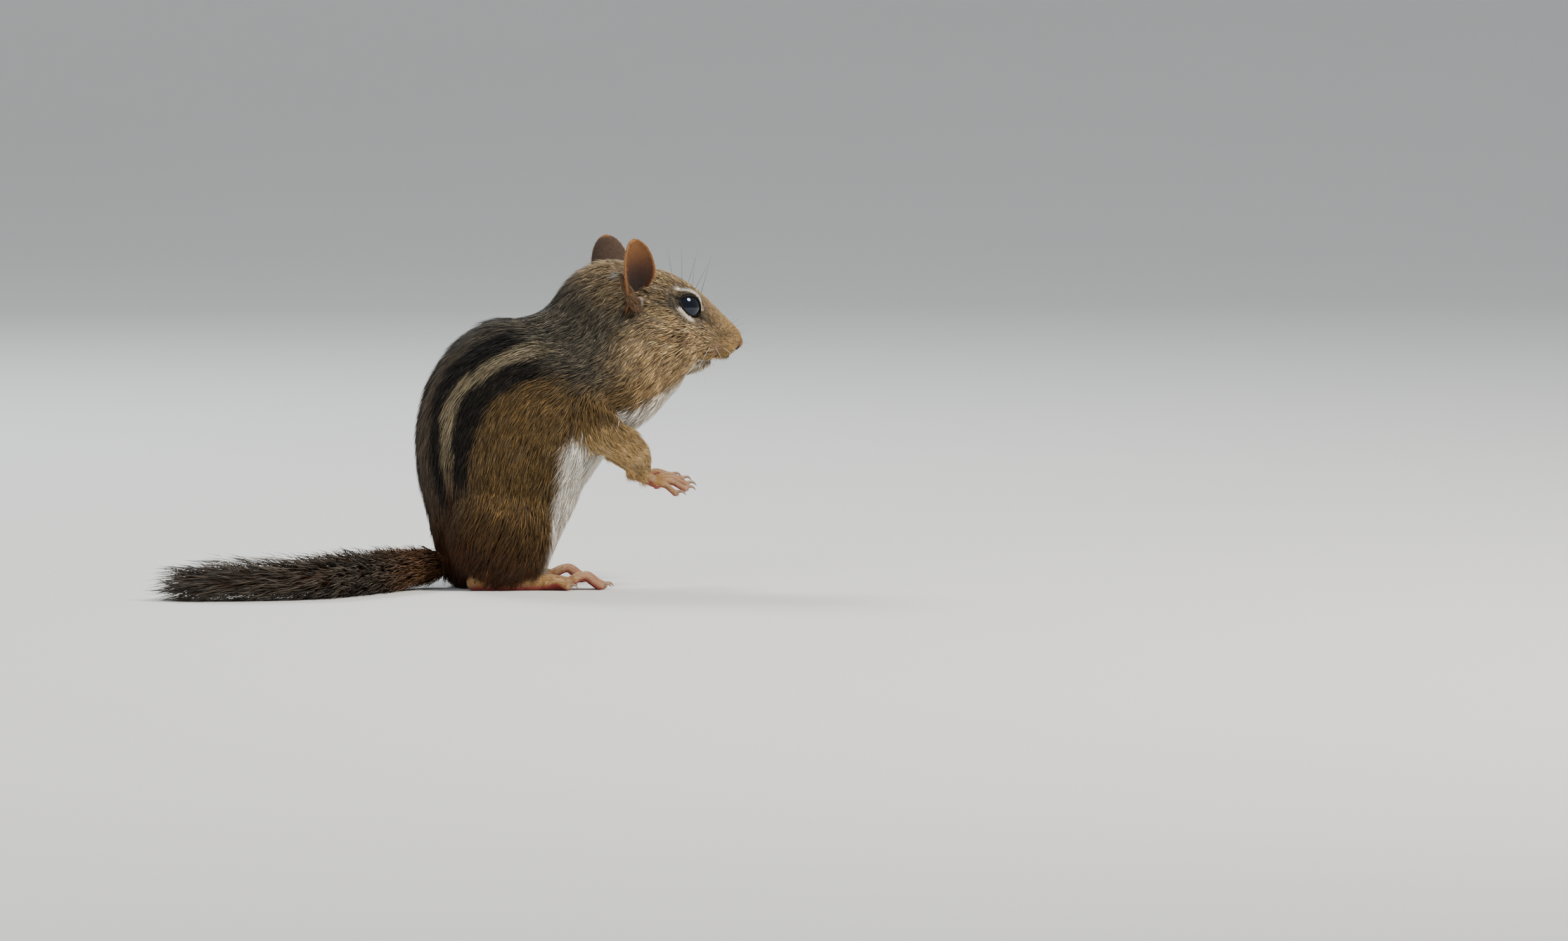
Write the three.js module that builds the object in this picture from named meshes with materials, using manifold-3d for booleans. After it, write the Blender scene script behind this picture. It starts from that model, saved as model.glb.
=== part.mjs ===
// A life-size eastern chipmunk that sits up on its haunches with its forepaws held out in front
// and its tail laid along the ground. Millimetres, +Z up. The animal faces +X, its right side is -Y
// and the ground is z = 0.
import * as THREE from "three";
import { mergeVertices } from "three/addons/utils/BufferGeometryUtils.js";
import Module from "manifold-3d";

const wasm = await Module();
wasm.setup();
const DEGREE = Math.PI / 180;
const vector = (p) => new THREE.Vector3(...p);

// Driving dimensions
const GAP = 0.3; // clearance that neighbouring pieces keep
const HEAD_TURN = 6 * DEGREE; // the head looks a little to its left
const TURN_AXIS = [20, 0, 0]; // the upright line in the neck that the head turns about
const EYE = {
  at: [46.5, 6.0, 71.0],
  radius: 4.3,
  out: [0.34, 1, 0.16], // the way it looks
  long: 7.1, // opening between the lids
  high: 4.8,
  tilt: -26 * DEGREE,
  lid: 0.55, // thickness of the lids
};
const EAR = {
  base: [32.2, 10.0, 72.8],
  rise: [-0.03, 0.3, 1],
  open: [0.4, 0.92, 0.05], // the way the cup faces
  height: 16.2,
  half: 4.9, // half width at its widest, a share of the way up
  widest: 0.52,
  wall: 0.8,
  sunk: 3, // depth of the root in the head
  curl: [1.3, 0.6], // half angle of the cup at the root and at the top, in radians
  lean: 1.2,
};

// Sections of the trunk from seat to nose. back and under are the points on the spine and on the
// underside, as [x, z]; half is the half width, low how much the lower part is wider, and turn the
// share of the head's turn it takes.
const SECTIONS = [
  { back: [-9.6, -0.8], under: [-1.0, -0.8], half: 7.5, low: 0.0, turn: 0 },
  { back: [-14.2, 4.0], under: [8.2, 3.4], half: 14.0, low: 0.0, turn: 0 },
  { back: [-16.6, 10.5], under: [13.8, 9.4], half: 17.4, low: 0.0, turn: 0 },
  { back: [-18.9, 19.7], under: [18.2, 18.0], half: 19.4, low: 0.02, turn: 0 },
  { back: [-21.2, 31.0], under: [22.8, 27.0], half: 20.8, low: 0.04, turn: 0 },
  { back: [-21.0, 42.5], under: [27.2, 33.0], half: 21.0, low: 0.05, turn: 0 },
  { back: [-17.6, 53.5], under: [30.4, 36.6], half: 20.2, low: 0.05, turn: 0 },
  { back: [-10.8, 62.4], under: [32.8, 39.4], half: 18.8, low: 0.05, turn: 0 },
  { back: [-2.0, 67.6], under: [35.8, 40.8], half: 17.2, low: 0.04, turn: 0.1 },
  { back: [6.5, 69.0], under: [38.9, 42.9], half: 15.8, low: 0.03, turn: 0.3 },
  { back: [13.0, 72.4], under: [41.8, 45.4], half: 14.8, low: 0.04, turn: 0.6 },
  { back: [19.6, 79.4], under: [44.5, 48.3], half: 14.2, low: 0.08, turn: 0.9 },
  { back: [27.6, 82.8], under: [47.3, 51.5], half: 13.6, low: 0.13, turn: 1 },
  { back: [37.6, 81.3], under: [49.3, 54.5], half: 12.4, low: 0.15, turn: 1 },
  { back: [45.2, 79.0], under: [51.8, 56.8], half: 10.3, low: 0.1, turn: 1 },
  { back: [51.8, 75.0], under: [55.2, 57.0], half: 7.7, low: 0.08, turn: 1 },
  { back: [57.8, 69.6], under: [58.8, 57.6], half: 5.6, low: 0.08, turn: 1 },
  { back: [62.1, 65.4], under: [62.0, 59.2], half: 3.8, low: 0.0, turn: 1 },
  { back: [63.4, 63.4], under: [63.2, 61.4], half: 1.5, low: 0.0, turn: 1 },
];
const TRUNK_SIDES = 24;
const RINGS_A_SECTION = 2;
const SQUARENESS = 2.15; // 2 is an ellipse, more is squarer
const NECK_CUTS = { chest: 8.6, nape: 11.1 }; // places among the sections where the neck begins and ends

// Flesh of the right limbs as [x, y, z] with the half width across and the half height.
// The left side mirrors it.
const ARM = [
  { at: [15.5, -8.0, 55.5], wide: 5.6, high: 8.6 },
  { at: [18.6, -12.4, 47.8], wide: 5.2, high: 7.8 },
  { at: [23.0, -14.0, 41.4], wide: 4.9, high: 6.3 },
  { at: [28.4, -13.8, 37.6], wide: 4.5, high: 5.3 },
  { at: [32.4, -12.8, 34.2], wide: 3.9, high: 4.5 },
  { at: [34.5, -11.7, 31.3], wide: 3.0, high: 3.3 },
  { at: [35.6, -11.2, 29.3], wide: 2.4, high: 2.2 },
];
const ELBOW_CUT = 0.4; // as a share of the arm's path
const WRIST_CUT = 0.9;
const PALM = { at: [37.0, -10.9, 27.7], half: [3.3, 2.7, 1.5], pitch: 38 * DEGREE };
// Each finger runs from its knuckle in the palm to its pad, arched by rise
const FINGERS = [
  { from: [38.2, -9.1, 27.6], to: [45.6, -7.9, 27.4], rise: 0.9, thick: 0.85 },
  { from: [38.8, -10.3, 27.0], to: [46.4, -10.2, 26.2], rise: 1.1, thick: 0.9 },
  { from: [38.8, -11.5, 26.7], to: [45.8, -12.5, 25.2], rise: 1.0, thick: 0.9 },
  { from: [38.0, -12.6, 26.6], to: [43.0, -14.8, 24.2], rise: 0.8, thick: 0.85 },
];
const THUMB = { from: [34.8, -9.4, 28.6], to: [36.2, -7.6, 26.9], rise: 0.1, thick: 0.75 };
const HAUNCH = [
  { at: [-1.2, -11.6, 17.2], half: [14.4, 10.2, 17.6] },
  { at: [0.6, -12.8, 9.6], half: [11.0, 7.8, 7.8] },
];
const SOLE = [
  { at: [-8.6, -13.0, 2.3], wide: 2.3, high: 2.6 },
  { at: [-3.0, -13.4, 2.3], wide: 2.6, high: 2.9 },
  { at: [4.0, -13.9, 2.1], wide: 2.7, high: 2.6 },
  { at: [10.5, -14.4, 1.9], wide: 3.0, high: 2.3 },
  { at: [15.0, -14.7, 1.6], wide: 3.3, high: 1.9 },
];
const TOES = [
  { from: [10.6, -12.4, 1.5], to: [16.0, -10.4, 1.0], rise: 1.0, thick: 0.95 },
  { from: [15.2, -12.9, 1.7], to: [23.2, -12.1, 1.0], rise: 2.1, thick: 1.05 },
  { from: [15.6, -14.3, 1.8], to: [24.4, -14.3, 1.0], rise: 2.3, thick: 1.1 },
  { from: [15.2, -15.8, 1.7], to: [23.4, -16.6, 1.0], rise: 2.1, thick: 1.05 },
  { from: [9.4, -16.6, 1.6], to: [14.6, -19.0, 1.0], rise: 1.0, thick: 0.95 },
];
const CLAW = { length: 2.5, root: 0.55, tip: 0.12, drop: 0.75 };

// Line of the tail's bones, with the half width of its hair; the flesh is a share of that
const TAIL = [
  { at: [-11.0, 0.5, 7.2], hair: 7.0 },
  { at: [-19.0, -3.0, 5.9], hair: 6.3 },
  { at: [-29.5, -12.0, 5.2], hair: 6.7 },
  { at: [-40.5, -24.0, 5.1], hair: 7.0 },
  { at: [-51.0, -33.2, 5.0], hair: 6.8 },
  { at: [-63.5, -37.2, 4.8], hair: 6.3 },
  { at: [-76.0, -37.4, 4.4], hair: 5.4 },
  { at: [-83.0, -36.2, 4.0], hair: 4.0 },
];
const TAIL_CORE = 0.5;
const TAIL_CUTS = [0.36, 0.68]; // shares of the tail's path where its lengths meet
const LOCK = { rings: 9, around: 5, length: 13, wide: 2.6, thick: 0.5, first: 0.07, last: 0.95, seed: 5 };
const LOCK_SHAPE = [
  { along: 0, out: 0.36, wide: 0.8 },
  { along: 0.36, out: 0.74, wide: 1 },
  { along: 0.72, out: 0.9, wide: 0.75 },
  { along: 1, out: 0.95, wide: 0.16 },
];

const BACK_BROWN = 0x7b6548;
const FINISH = {
  trunk: { color: BACK_BROWN, roughness: 0.9, metalness: 0 },
  neck: { color: 0x756046, roughness: 0.9, metalness: 0 },
  face: { color: 0x8b6b45, roughness: 0.88, metalness: 0 },
  haunch: { color: 0x7a5530, roughness: 0.9, metalness: 0 },
  arm: { color: 0x9b7a4c, roughness: 0.9, metalness: 0 },
  paw: { color: 0xb98a72, roughness: 0.7, metalness: 0 },
  ear: { color: 0x8a5733, roughness: 0.8, metalness: 0 },
  eye: { color: 0x0b0a0c, roughness: 0.08, metalness: 0 },
  tail: { color: 0x5c5247, roughness: 0.95, metalness: 0 },
};

// Solids from three.js geometry, always facing out
function solid(geometry) {
  const plain = geometry.clone();
  for (const name of ["normal", "uv"]) plain.deleteAttribute(name);
  const merged = mergeVertices(plain, 1e-4);
  const vertProperties = merged.getAttribute("position").array;
  const triVerts = new Uint32Array(merged.index.array);
  if (signedVolume(vertProperties, triVerts) < 0) {
    for (let i = 0; i < triVerts.length; i += 3) {
      [triVerts[i + 1], triVerts[i + 2]] = [triVerts[i + 2], triVerts[i + 1]];
    }
  }
  return new wasm.Manifold(new wasm.Mesh({ numProp: 3, vertProperties, triVerts }));
}

function signedVolume(places, corners) {
  const corner = (i) => new THREE.Vector3().fromArray(places, corners[i] * 3);
  let sum = 0;
  for (let i = 0; i < corners.length; i += 3) sum += corner(i).dot(corner(i + 1).cross(corner(i + 2)));
  return sum;
}

const fuse = (solids) => solids.reduce((whole, one) => whole.add(one));
const byVolume = (a, b) => b.volume() - a.volume();
const largest = (whole) => whole.decompose().sort(byVolume)[0];

// A closed surface through rings of points, each end closed by a fan round its middle
function loft(rings) {
  const sides = rings[0].length;
  const middle = (ring) => ring.reduce((sum, p) => sum.add(p), new THREE.Vector3()).divideScalar(sides);
  const points = [...rings.flat(), middle(rings[0]), middle(rings.at(-1))];
  const [first, last] = [points.length - 2, points.length - 1];
  const index = [];
  for (let j = 0; j < sides; j++) {
    const next = (j + 1) % sides;
    for (let i = 0; i + 1 < rings.length; i++) {
      const [a, b, c, d] = [i * sides + j, i * sides + next, (i + 1) * sides + next, (i + 1) * sides + j];
      index.push(a, b, c, a, c, d);
    }
    index.push(first, next, j);
    index.push(last, (rings.length - 1) * sides + j, (rings.length - 1) * sides + next);
  }
  return solid(new THREE.BufferGeometry().setFromPoints(points).setIndex(index));
}

// A limb, finger or claw: an oval section carried along a smooth path, with round ends
function tube(stops, form = {}) {
  const { sides = 12, steps = 12, across = [0, 1, 0], grow = 0, blunt = 0.8, cap = [85, 50] } = form;
  const path = new THREE.CatmullRomCurve3(stops.map((s) => vector(s.at)));
  const sizes = new THREE.CatmullRomCurve3(stops.map((s) => new THREE.Vector3(s.wide, s.high, 0)));
  const ring = (t, along, share) => {
    const ahead = path.getTangent(t);
    const side = vector(across).addScaledVector(ahead, -vector(across).dot(ahead)).normalize();
    const up = new THREE.Vector3().crossVectors(ahead, side);
    const size = sizes.getPoint(t).addScalar(grow);
    const centre = path.getPoint(t).addScaledVector(ahead, along * Math.min(size.x, size.y));
    return Array.from({ length: sides }, (_, j) => {
      const angle = (j / sides) * 2 * Math.PI;
      const point = centre.clone().addScaledVector(side, Math.cos(angle) * size.x * share);
      return point.addScaledVector(up, Math.sin(angle) * size.y * share);
    });
  };
  const round = cap.map((a) => a * DEGREE);
  const start = round.map((a) => ring(0, -blunt * Math.sin(a), Math.cos(a)));
  const end = round.map((a) => ring(1, blunt * Math.sin(a), Math.cos(a))).reverse();
  const middle = Array.from({ length: steps + 1 }, (_, i) => ring(i / steps, 0, 1));
  return loft([...start, ...middle, ...end]);
}

function ellipsoid(at, half, { turn = [0, 0, 0], grow = 0, across = 14, up = 9 } = {}) {
  const ball = new THREE.SphereGeometry(1, across, up).rotateX(Math.PI / 2);
  ball.scale(half[0] + grow, half[1] + grow, half[2] + grow);
  ball.applyMatrix4(new THREE.Matrix4().makeRotationFromEuler(new THREE.Euler(...turn)));
  return solid(ball.translate(...at));
}

// A flat plate as thick as the clearance, square to ahead, that parts a limb in two
function plate(at, ahead, size) {
  const turn = new THREE.Quaternion().setFromUnitVectors(new THREE.Vector3(0, 0, 1), ahead.clone().normalize());
  return solid(new THREE.BoxGeometry(size, size, GAP).applyQuaternion(turn).translate(at.x, at.y, at.z));
}

const GROUND = solid(new THREE.BoxGeometry(400, 400, 60).translate(0, 0, -30));
const onGround = (whole) => whole.subtract(GROUND);
const mirrored = (p, side) => [p[0], Math.abs(p[1]) * side, p[2]]; // side is 1 on the left and -1 on the right
const sided = (stops, side) => stops.map((s) => ({ ...s, at: mirrored(s.at, side) }));

// The head's turn, as a matrix that takes a share of it
function headTurn(share) {
  const there = new THREE.Matrix4().makeTranslation(...TURN_AXIS);
  const back = new THREE.Matrix4().makeTranslation(...TURN_AXIS.map((v) => -v));
  return there.multiply(new THREE.Matrix4().makeRotationZ(HEAD_TURN * share)).multiply(back);
}
const turnedPoint = (p) => vector(p).applyMatrix4(headTurn(1));

// The trunk: neck and head included
const flat = (p) => new THREE.Vector3(p[0], 0, p[1]);
const BACK = new THREE.CatmullRomCurve3(SECTIONS.map((s) => flat(s.back)));
const UNDER = new THREE.CatmullRomCurve3(SECTIONS.map((s) => flat(s.under)));
const formOf = (s) => new THREE.Vector3(s.half, s.low * 10, s.turn * 10);
const FORM = new THREE.CatmullRomCurve3(SECTIONS.map(formOf));
const rounded = (value) => Math.sign(value) * Math.abs(value) ** (2 / SQUARENESS);

function trunkRing(place, grow) {
  const t = place / (SECTIONS.length - 1);
  const [back, under, form] = [BACK.getPoint(t), UNDER.getPoint(t), FORM.getPoint(t)];
  const centre = back.clone().add(under).multiplyScalar(0.5);
  const half = back.clone().sub(under).multiplyScalar(0.5);
  const tall = half.length();
  const turn = headTurn(form.z / 10);
  return Array.from({ length: TRUNK_SIDES }, (_, j) => {
    const angle = (j / TRUNK_SIDES) * 2 * Math.PI;
    const [along, over] = [Math.cos(angle), Math.sin(angle)];
    const point = centre.clone().addScaledVector(half, rounded(along) * (1 + grow / tall));
    point.y = rounded(over) * (form.x + grow) * (1 - (form.y / 10) * along);
    return point.applyMatrix4(turn);
  });
}

function trunk(grow = 0) {
  const count = (SECTIONS.length - 1) * RINGS_A_SECTION;
  return loft(Array.from({ length: count + 1 }, (_, i) => trunkRing(i / RINGS_A_SECTION, grow)));
}

function trunkPlate(place) {
  const ring = trunkRing(place, 0);
  const centre = ring.reduce((sum, p) => sum.add(p), new THREE.Vector3()).divideScalar(TRUNK_SIDES);
  const spine = ring[0].clone().sub(centre);
  const flank = ring[Math.round(TRUNK_SIDES / 4)].clone().sub(centre);
  return plate(centre, spine.cross(flank), 90);
}

// The head's own forms
const faced = (whole) => whole.transform(headTurn(1).elements);

function jaw() {
  const stops = [
    { at: [43.6, 0, 57.4], wide: 7.0, high: 4.0 },
    { at: [47.5, 0, 56.6], wide: 5.2, high: 3.4 },
    { at: [51.5, 0, 56.5], wide: 3.8, high: 2.3 },
    { at: [54.4, 0, 57.0], wide: 2.6, high: 1.5 },
  ];
  return tube(stops, { sides: 12, steps: 6 });
}

function mouthLine() {
  const stops = [
    { at: [49.5, 0, 56.9], wide: 7.0, high: 0.24 },
    { at: [53.0, 0, 57.0], wide: 5.4, high: 0.26 },
    { at: [56.6, 0, 57.9], wide: 4.8, high: 0.26 },
    { at: [61.3, 0, 59.6], wide: 2.8, high: 0.24 },
  ];
  const slot = tube(stops, { sides: 8, steps: 5, blunt: 0.2, cap: [60] });
  const core = stops.map((s) => ({ ...s, wide: s.wide * 0.72, high: 1.2 }));
  return slot.subtract(tube(core, { sides: 8, steps: 5, blunt: 0.2, cap: [60] }));
}

function muzzle(side) {
  const pad = ellipsoid([57.1, side * 2.9, 61.2], [4.3, 3.2, 3.0], { turn: [0, 0.35, 0], across: 12, up: 8 });
  const lip = ellipsoid([56.5, side * 2.4, 59.2], [3.8, 2.6, 1.7], { turn: [0, 0.2, 0], across: 10, up: 7 });
  return pad.add(lip);
}

const NOSE = { at: [62.0, 0, 62.6], half: [1.7, 2.0, 1.6] };
function nostril(side) {
  return ellipsoid([63.4, side * 1.15, 61.9], [1.0, 0.42, 0.62], { turn: [0, 0.5, side * 0.5], across: 10, up: 8 });
}
const philtrum = () => solid(new THREE.BoxGeometry(1.6, 0.3, 2.0).translate(63.1, 0, 60.2));

function eyeFrame(side) {
  const out = vector(mirrored(EYE.out, side)).normalize();
  const fore = new THREE.Vector3(Math.cos(EYE.tilt), 0, Math.sin(EYE.tilt)).projectOnPlane(out).normalize();
  const basis = new THREE.Matrix4().makeBasis(fore, new THREE.Vector3().crossVectors(out, fore), out);
  return basis.setPosition(...mirrored(EYE.at, side));
}

const ball = (radius, across = 12, up = 9) => new THREE.SphereGeometry(radius, across, up);
const eyeball = (side) => solid(ball(EYE.radius).applyMatrix4(eyeFrame(side)));
const lids = (side) => solid(ball(EYE.radius + GAP + EYE.lid, 20, 13).applyMatrix4(eyeFrame(side)));
const socket = (side) => solid(ball(EYE.radius + GAP).applyMatrix4(eyeFrame(side)));

// The opening between the lids: two arcs that meet in the corners of the eye
function lidOpening(side) {
  const outline = new THREE.Shape();
  outline.moveTo(-EYE.long / 2, 0);
  outline.quadraticCurveTo(-EYE.long / 3, EYE.high * 0.56, 0, EYE.high / 2);
  outline.quadraticCurveTo(EYE.long / 3, EYE.high * 0.5, EYE.long / 2, 0);
  outline.quadraticCurveTo(EYE.long / 3, -EYE.high * 0.56, 0, -EYE.high / 2);
  outline.quadraticCurveTo(-EYE.long / 3, -EYE.high * 0.5, -EYE.long / 2, 0);
  const prism = new THREE.ExtrudeGeometry(outline, { depth: 8, bevelEnabled: false, curveSegments: 5 });
  return solid(prism.applyMatrix4(eyeFrame(side)));
}

function head(whole) {
  const shared = [jaw(), ellipsoid(NOSE.at, NOSE.half), muzzle(1), muzzle(-1), lids(1), lids(-1)];
  const cuts = [mouthLine(), philtrum()];
  for (const side of [1, -1]) cuts.push(nostril(side), socket(side), lidOpening(side));
  return whole.add(faced(fuse(shared))).subtract(faced(fuse(cuts)));
}

// An ear: a cupped blade with a round top, open forwards and outwards, that curls tighter towards its root
function ear(side, grow = 0) {
  const rise = vector(mirrored(EAR.rise, side)).normalize();
  const open = vector(mirrored(EAR.open, side)).projectOnPlane(rise).normalize();
  const wide = new THREE.Vector3().crossVectors(rise, open);
  const base = vector(mirrored(EAR.base, side));
  const [columns, rows] = [8, 9];
  const face = (u, v, depth) => {
    const up = Math.max(v, 0);
    const crown = Math.sqrt(1 - Math.max((up - EAR.widest) / (1.001 - EAR.widest), 0) ** 2);
    const stem = 0.72 + 0.28 * Math.sin(Math.min(up / EAR.widest, 1) * (Math.PI / 2));
    const curl = EAR.curl[0] + (EAR.curl[1] - EAR.curl[0]) * up;
    const radius = (EAR.half * Math.max(crown * stem, 0.08)) / Math.sin(curl);
    const bow = radius - (radius + depth) * Math.cos(curl * u) - EAR.lean * up * up;
    return base.clone().addScaledVector(rise, EAR.height * v)
      .addScaledVector(wide, (radius + depth) * Math.sin(curl * u)).addScaledVector(open, bow);
  };
  const wall = EAR.wall / 2 + grow;
  const rings = Array.from({ length: rows + 1 }, (_, i) => {
    const v = -EAR.sunk / EAR.height + (1 + EAR.sunk / EAR.height) * Math.sin((i / rows) * Math.PI / 2);
    const over = Array.from({ length: columns + 1 }, (_, j) => -1 + (2 * j) / columns);
    const outer = over.map((u) => face(u, v, wall));
    const inner = over.slice(1, -1).reverse().map((u) => face(u, v, -wall));
    return [...outer, ...inner];
  });
  return loft(rings);
}

// A finger or toe with its pad and claw
function digit({ from, to, rise, thick }) {
  const [a, b] = [vector(from), vector(to)];
  const middle = a.clone().lerp(b, 0.5).add(new THREE.Vector3(0, 0, rise));
  const ahead = b.clone().sub(a).setZ(0).normalize();
  const side = new THREE.Vector3(0, 0, 1).cross(ahead).toArray();
  const stop = (p, share) => ({ at: p.toArray(), wide: thick * share, high: thick * share });
  const joints = [stop(a, 1.1), stop(middle, 1.0), stop(b, 1.25)];
  const bone = tube(joints, { sides: 5, steps: 3, across: side, cap: [55] });
  const root = b.clone().addScaledVector(ahead, thick * 0.4).add(new THREE.Vector3(0, 0, thick * 0.45));
  const bend = root.clone().addScaledVector(ahead, CLAW.length * 0.55).add(new THREE.Vector3(0, 0, 0.1));
  const tip = root.clone().addScaledVector(ahead, CLAW.length).add(new THREE.Vector3(0, 0, -CLAW.drop));
  const nail = (p, half) => ({ at: p.toArray(), wide: half * 0.75, high: half });
  const claw = [nail(root, CLAW.root), nail(bend, CLAW.root * 0.8), nail(tip, CLAW.tip)];
  return bone.add(tube(claw, { sides: 4, steps: 2, across: side, cap: [] }));
}

function digits(list, side) {
  return fuse(list.map((d) => digit({ ...d, from: mirrored(d.from, side), to: mirrored(d.to, side) })));
}

// Arms: shoulder to wrist in one, with the hand, parted at elbow and wrist
function arm(side) {
  const stops = sided(ARM, side);
  const path = new THREE.CatmullRomCurve3(stops.map((s) => vector(s.at)));
  const limb = tube(stops, { sides: 10, steps: 10 });
  const palm = ellipsoid(mirrored(PALM.at, side), PALM.half, { turn: [0, PALM.pitch, 0], across: 12, up: 8 });
  const whole = fuse([limb, palm, digits([...FINGERS, THUMB], side)]);
  const cuts = [ELBOW_CUT, WRIST_CUT].map((t) => plate(path.getPoint(t), path.getTangent(t), 22));
  const pieces = whole.subtract(fuse(cuts)).decompose().sort(byVolume).slice(0, 3);
  const [upper, fore, hand] = pieces.sort((a, b) => centreX(a) - centreX(b));
  return { upper, fore, hand };
}
const centreX = (whole) => (whole.boundingBox().min[0] + whole.boundingBox().max[0]) / 2;
const grownArm = (side) => tube(sided(ARM, side), { sides: 10, steps: 10, grow: GAP });

// Legs: a haunch that holds thigh and shank, and a long hind foot that lies flat
function haunch(side, grow = 0) {
  return fuse(HAUNCH.map((h) => ellipsoid(mirrored(h.at, side), h.half, { grow, across: 14, up: 9 })));
}
const sole = (side, grow = 0) => tube(sided(SOLE, side), { sides: 10, steps: 8, grow });
const hindFoot = (side) => fuse([sole(side), digits(TOES, side)]);

// The tail: flesh under flat locks of hair that taper, overlap and lean back along it out to the
// width of the coat
const TAIL_PATH = new THREE.CatmullRomCurve3(TAIL.map((s) => vector(s.at)));
const TAIL_HAIR = new THREE.CatmullRomCurve3(TAIL.map((s) => new THREE.Vector3(s.hair, 0, 0)));

function tailFlesh() {
  const stops = TAIL.map((s) => ({ at: s.at, wide: s.hair * TAIL_CORE, high: s.hair * TAIL_CORE * 0.9 }));
  return tube(stops, { sides: 10, steps: 16 });
}

// Seeded draw between -1 and 1
function drawer(seed) {
  let state = seed;
  return () => {
    state = (state * 1664525 + 1013904223) % 4294967296;
    return (state / 4294967296) * 2 - 1;
  };
}

function tailLock(t, around, draw) {
  const [centre, ahead] = [TAIL_PATH.getPoint(t), TAIL_PATH.getTangent(t)];
  const side = new THREE.Vector3(0, 0, 1).cross(ahead).normalize();
  const up = new THREE.Vector3().crossVectors(ahead, side);
  const out = side.clone().multiplyScalar(Math.cos(around)).addScaledVector(up, Math.sin(around));
  const across = new THREE.Vector3().crossVectors(ahead, out);
  const reach = TAIL_HAIR.getPoint(t).x;
  const length = LOCK.length * (1 + 0.15 * draw());
  const stops = LOCK_SHAPE.map((shape) => {
    const at = centre.clone().addScaledVector(ahead, length * shape.along);
    at.addScaledVector(out, reach * shape.out).addScaledVector(across, 0.9 * draw() * shape.along);
    return { at: at.toArray(), wide: LOCK.wide * shape.wide, high: LOCK.thick * (0.35 + 0.65 * shape.wide) };
  });
  return tube(stops, { sides: 4, steps: 3, across: across.toArray(), cap: [] });
}

function tailWhole() {
  const draw = drawer(LOCK.seed);
  const locks = [];
  for (let i = 0; i < LOCK.rings; i++) {
    const t = LOCK.first + ((LOCK.last - LOCK.first) * i) / (LOCK.rings - 1);
    for (let k = 0; k < LOCK.around; k++) {
      const around = ((k + (i % 2) / 2) / LOCK.around) * 2 * Math.PI + 0.12 * draw();
      locks.push(tailLock(t, around, draw));
    }
  }
  return fuse([tailFlesh(), ...locks]);
}

function tailLengths() {
  const cuts = TAIL_CUTS.map((t) => plate(TAIL_PATH.getPoint(t), TAIL_PATH.getTangent(t), 26));
  const pieces = onGround(tailWhole()).subtract(fuse(cuts)).decompose().sort(byVolume).slice(0, 3);
  return pieces.sort((a, b) => centreX(b) - centreX(a));
}

// Parting and placing
const chipmunk = new THREE.Group();

function geometryOf(whole) {
  const mesh = whole.getMesh();
  const places = new Float32Array(mesh.numVert * 3);
  for (let i = 0; i < mesh.numVert; i++) {
    places.set(mesh.vertProperties.subarray(i * mesh.numProp, i * mesh.numProp + 3), i * 3);
  }
  const geometry = new THREE.BufferGeometry().setAttribute("position", new THREE.BufferAttribute(places, 3));
  return geometry.setIndex(new THREE.BufferAttribute(mesh.triVerts, 1));
}

function add(name, whole, finish, at) {
  const geometry = geometryOf(largest(onGround(whole))).translate(...at.map((v) => -v));
  geometry.computeVertexNormals();
  const mesh = new THREE.Mesh(geometry, new THREE.MeshStandardMaterial(FINISH[finish]));
  mesh.name = name;
  mesh.position.set(...at);
  chipmunk.add(mesh);
}

const sides = { left: 1, right: -1 };
const arms = Object.fromEntries(Object.entries(sides).map(([name, side]) => [name, arm(side)]));
const whole = trunk();
const neckPlates = fuse([trunkPlate(NECK_CUTS.chest), trunkPlate(NECK_CUTS.nape)]);
const parted = whole.subtract(neckPlates).decompose().sort(byVolume).slice(0, 3);
const [torsoFlesh, neckFlesh, headFlesh] = parted.sort((a, b) => centreX(a) - centreX(b));
const grownTrunk = trunk(GAP);
const grownLimbs = (side) => [grownArm(side), haunch(side, GAP), sole(side, GAP)];
const sockets = fuse(Object.values(sides).flatMap(grownLimbs));

add("torso", torsoFlesh.subtract(sockets), "trunk", [0, 0, 0]);
add("neck", neckFlesh.subtract(sockets), "neck", [20, 0, 62]);
add("head", head(headFlesh), "face", TURN_AXIS);
tailLengths().forEach((length, i) => {
  const name = ["tail_base", "tail_middle", "tail_tip"][i];
  add(name, length.subtract(grownTrunk), "tail", TAIL[2 * i + 1].at);
});
for (const [name, side] of Object.entries(sides)) {
  add(name + "_eye", faced(eyeball(side)), "eye", turnedPoint(mirrored(EYE.at, side)).toArray());
  const blade = faced(ear(side)).subtract(grownTrunk);
  add(name + "_ear", blade, "ear", turnedPoint(mirrored(EAR.base, side)).toArray());
  add(name + "_upper_arm", arms[name].upper, "arm", mirrored(ARM[0].at, side));
  add(name + "_forearm", arms[name].fore, "arm", mirrored(ARM[3].at, side));
  add(name + "_forepaw", arms[name].hand, "paw", mirrored(PALM.at, side));
  const thigh = haunch(side).subtract(fuse([sole(side, GAP), grownArm(side)]));
  add(name + "_haunch", thigh, "haunch", mirrored(HAUNCH[0].at, side));
  add(name + "_hind_foot", hindFoot(side), "paw", mirrored(SOLE[0].at, side));
}

// The origin is on the ground under the middle of the model
const middle = new THREE.Box3().setFromObject(chipmunk, true).getCenter(new THREE.Vector3());
chipmunk.position.set(-middle.x, -middle.y, 0);

export default chipmunk;
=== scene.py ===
"""An eastern chipmunk that sits up on its haunches, as a life-size model.
Lengths in the tables are millimetres in the animal's own frame (+X ahead, +Y its left, +Z up); place()
moves them into the frame's metres. On the trunk, t counts its stops from seat to nose, and theta is
degrees from the spine."""
import math
from typing import NamedTuple

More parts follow.
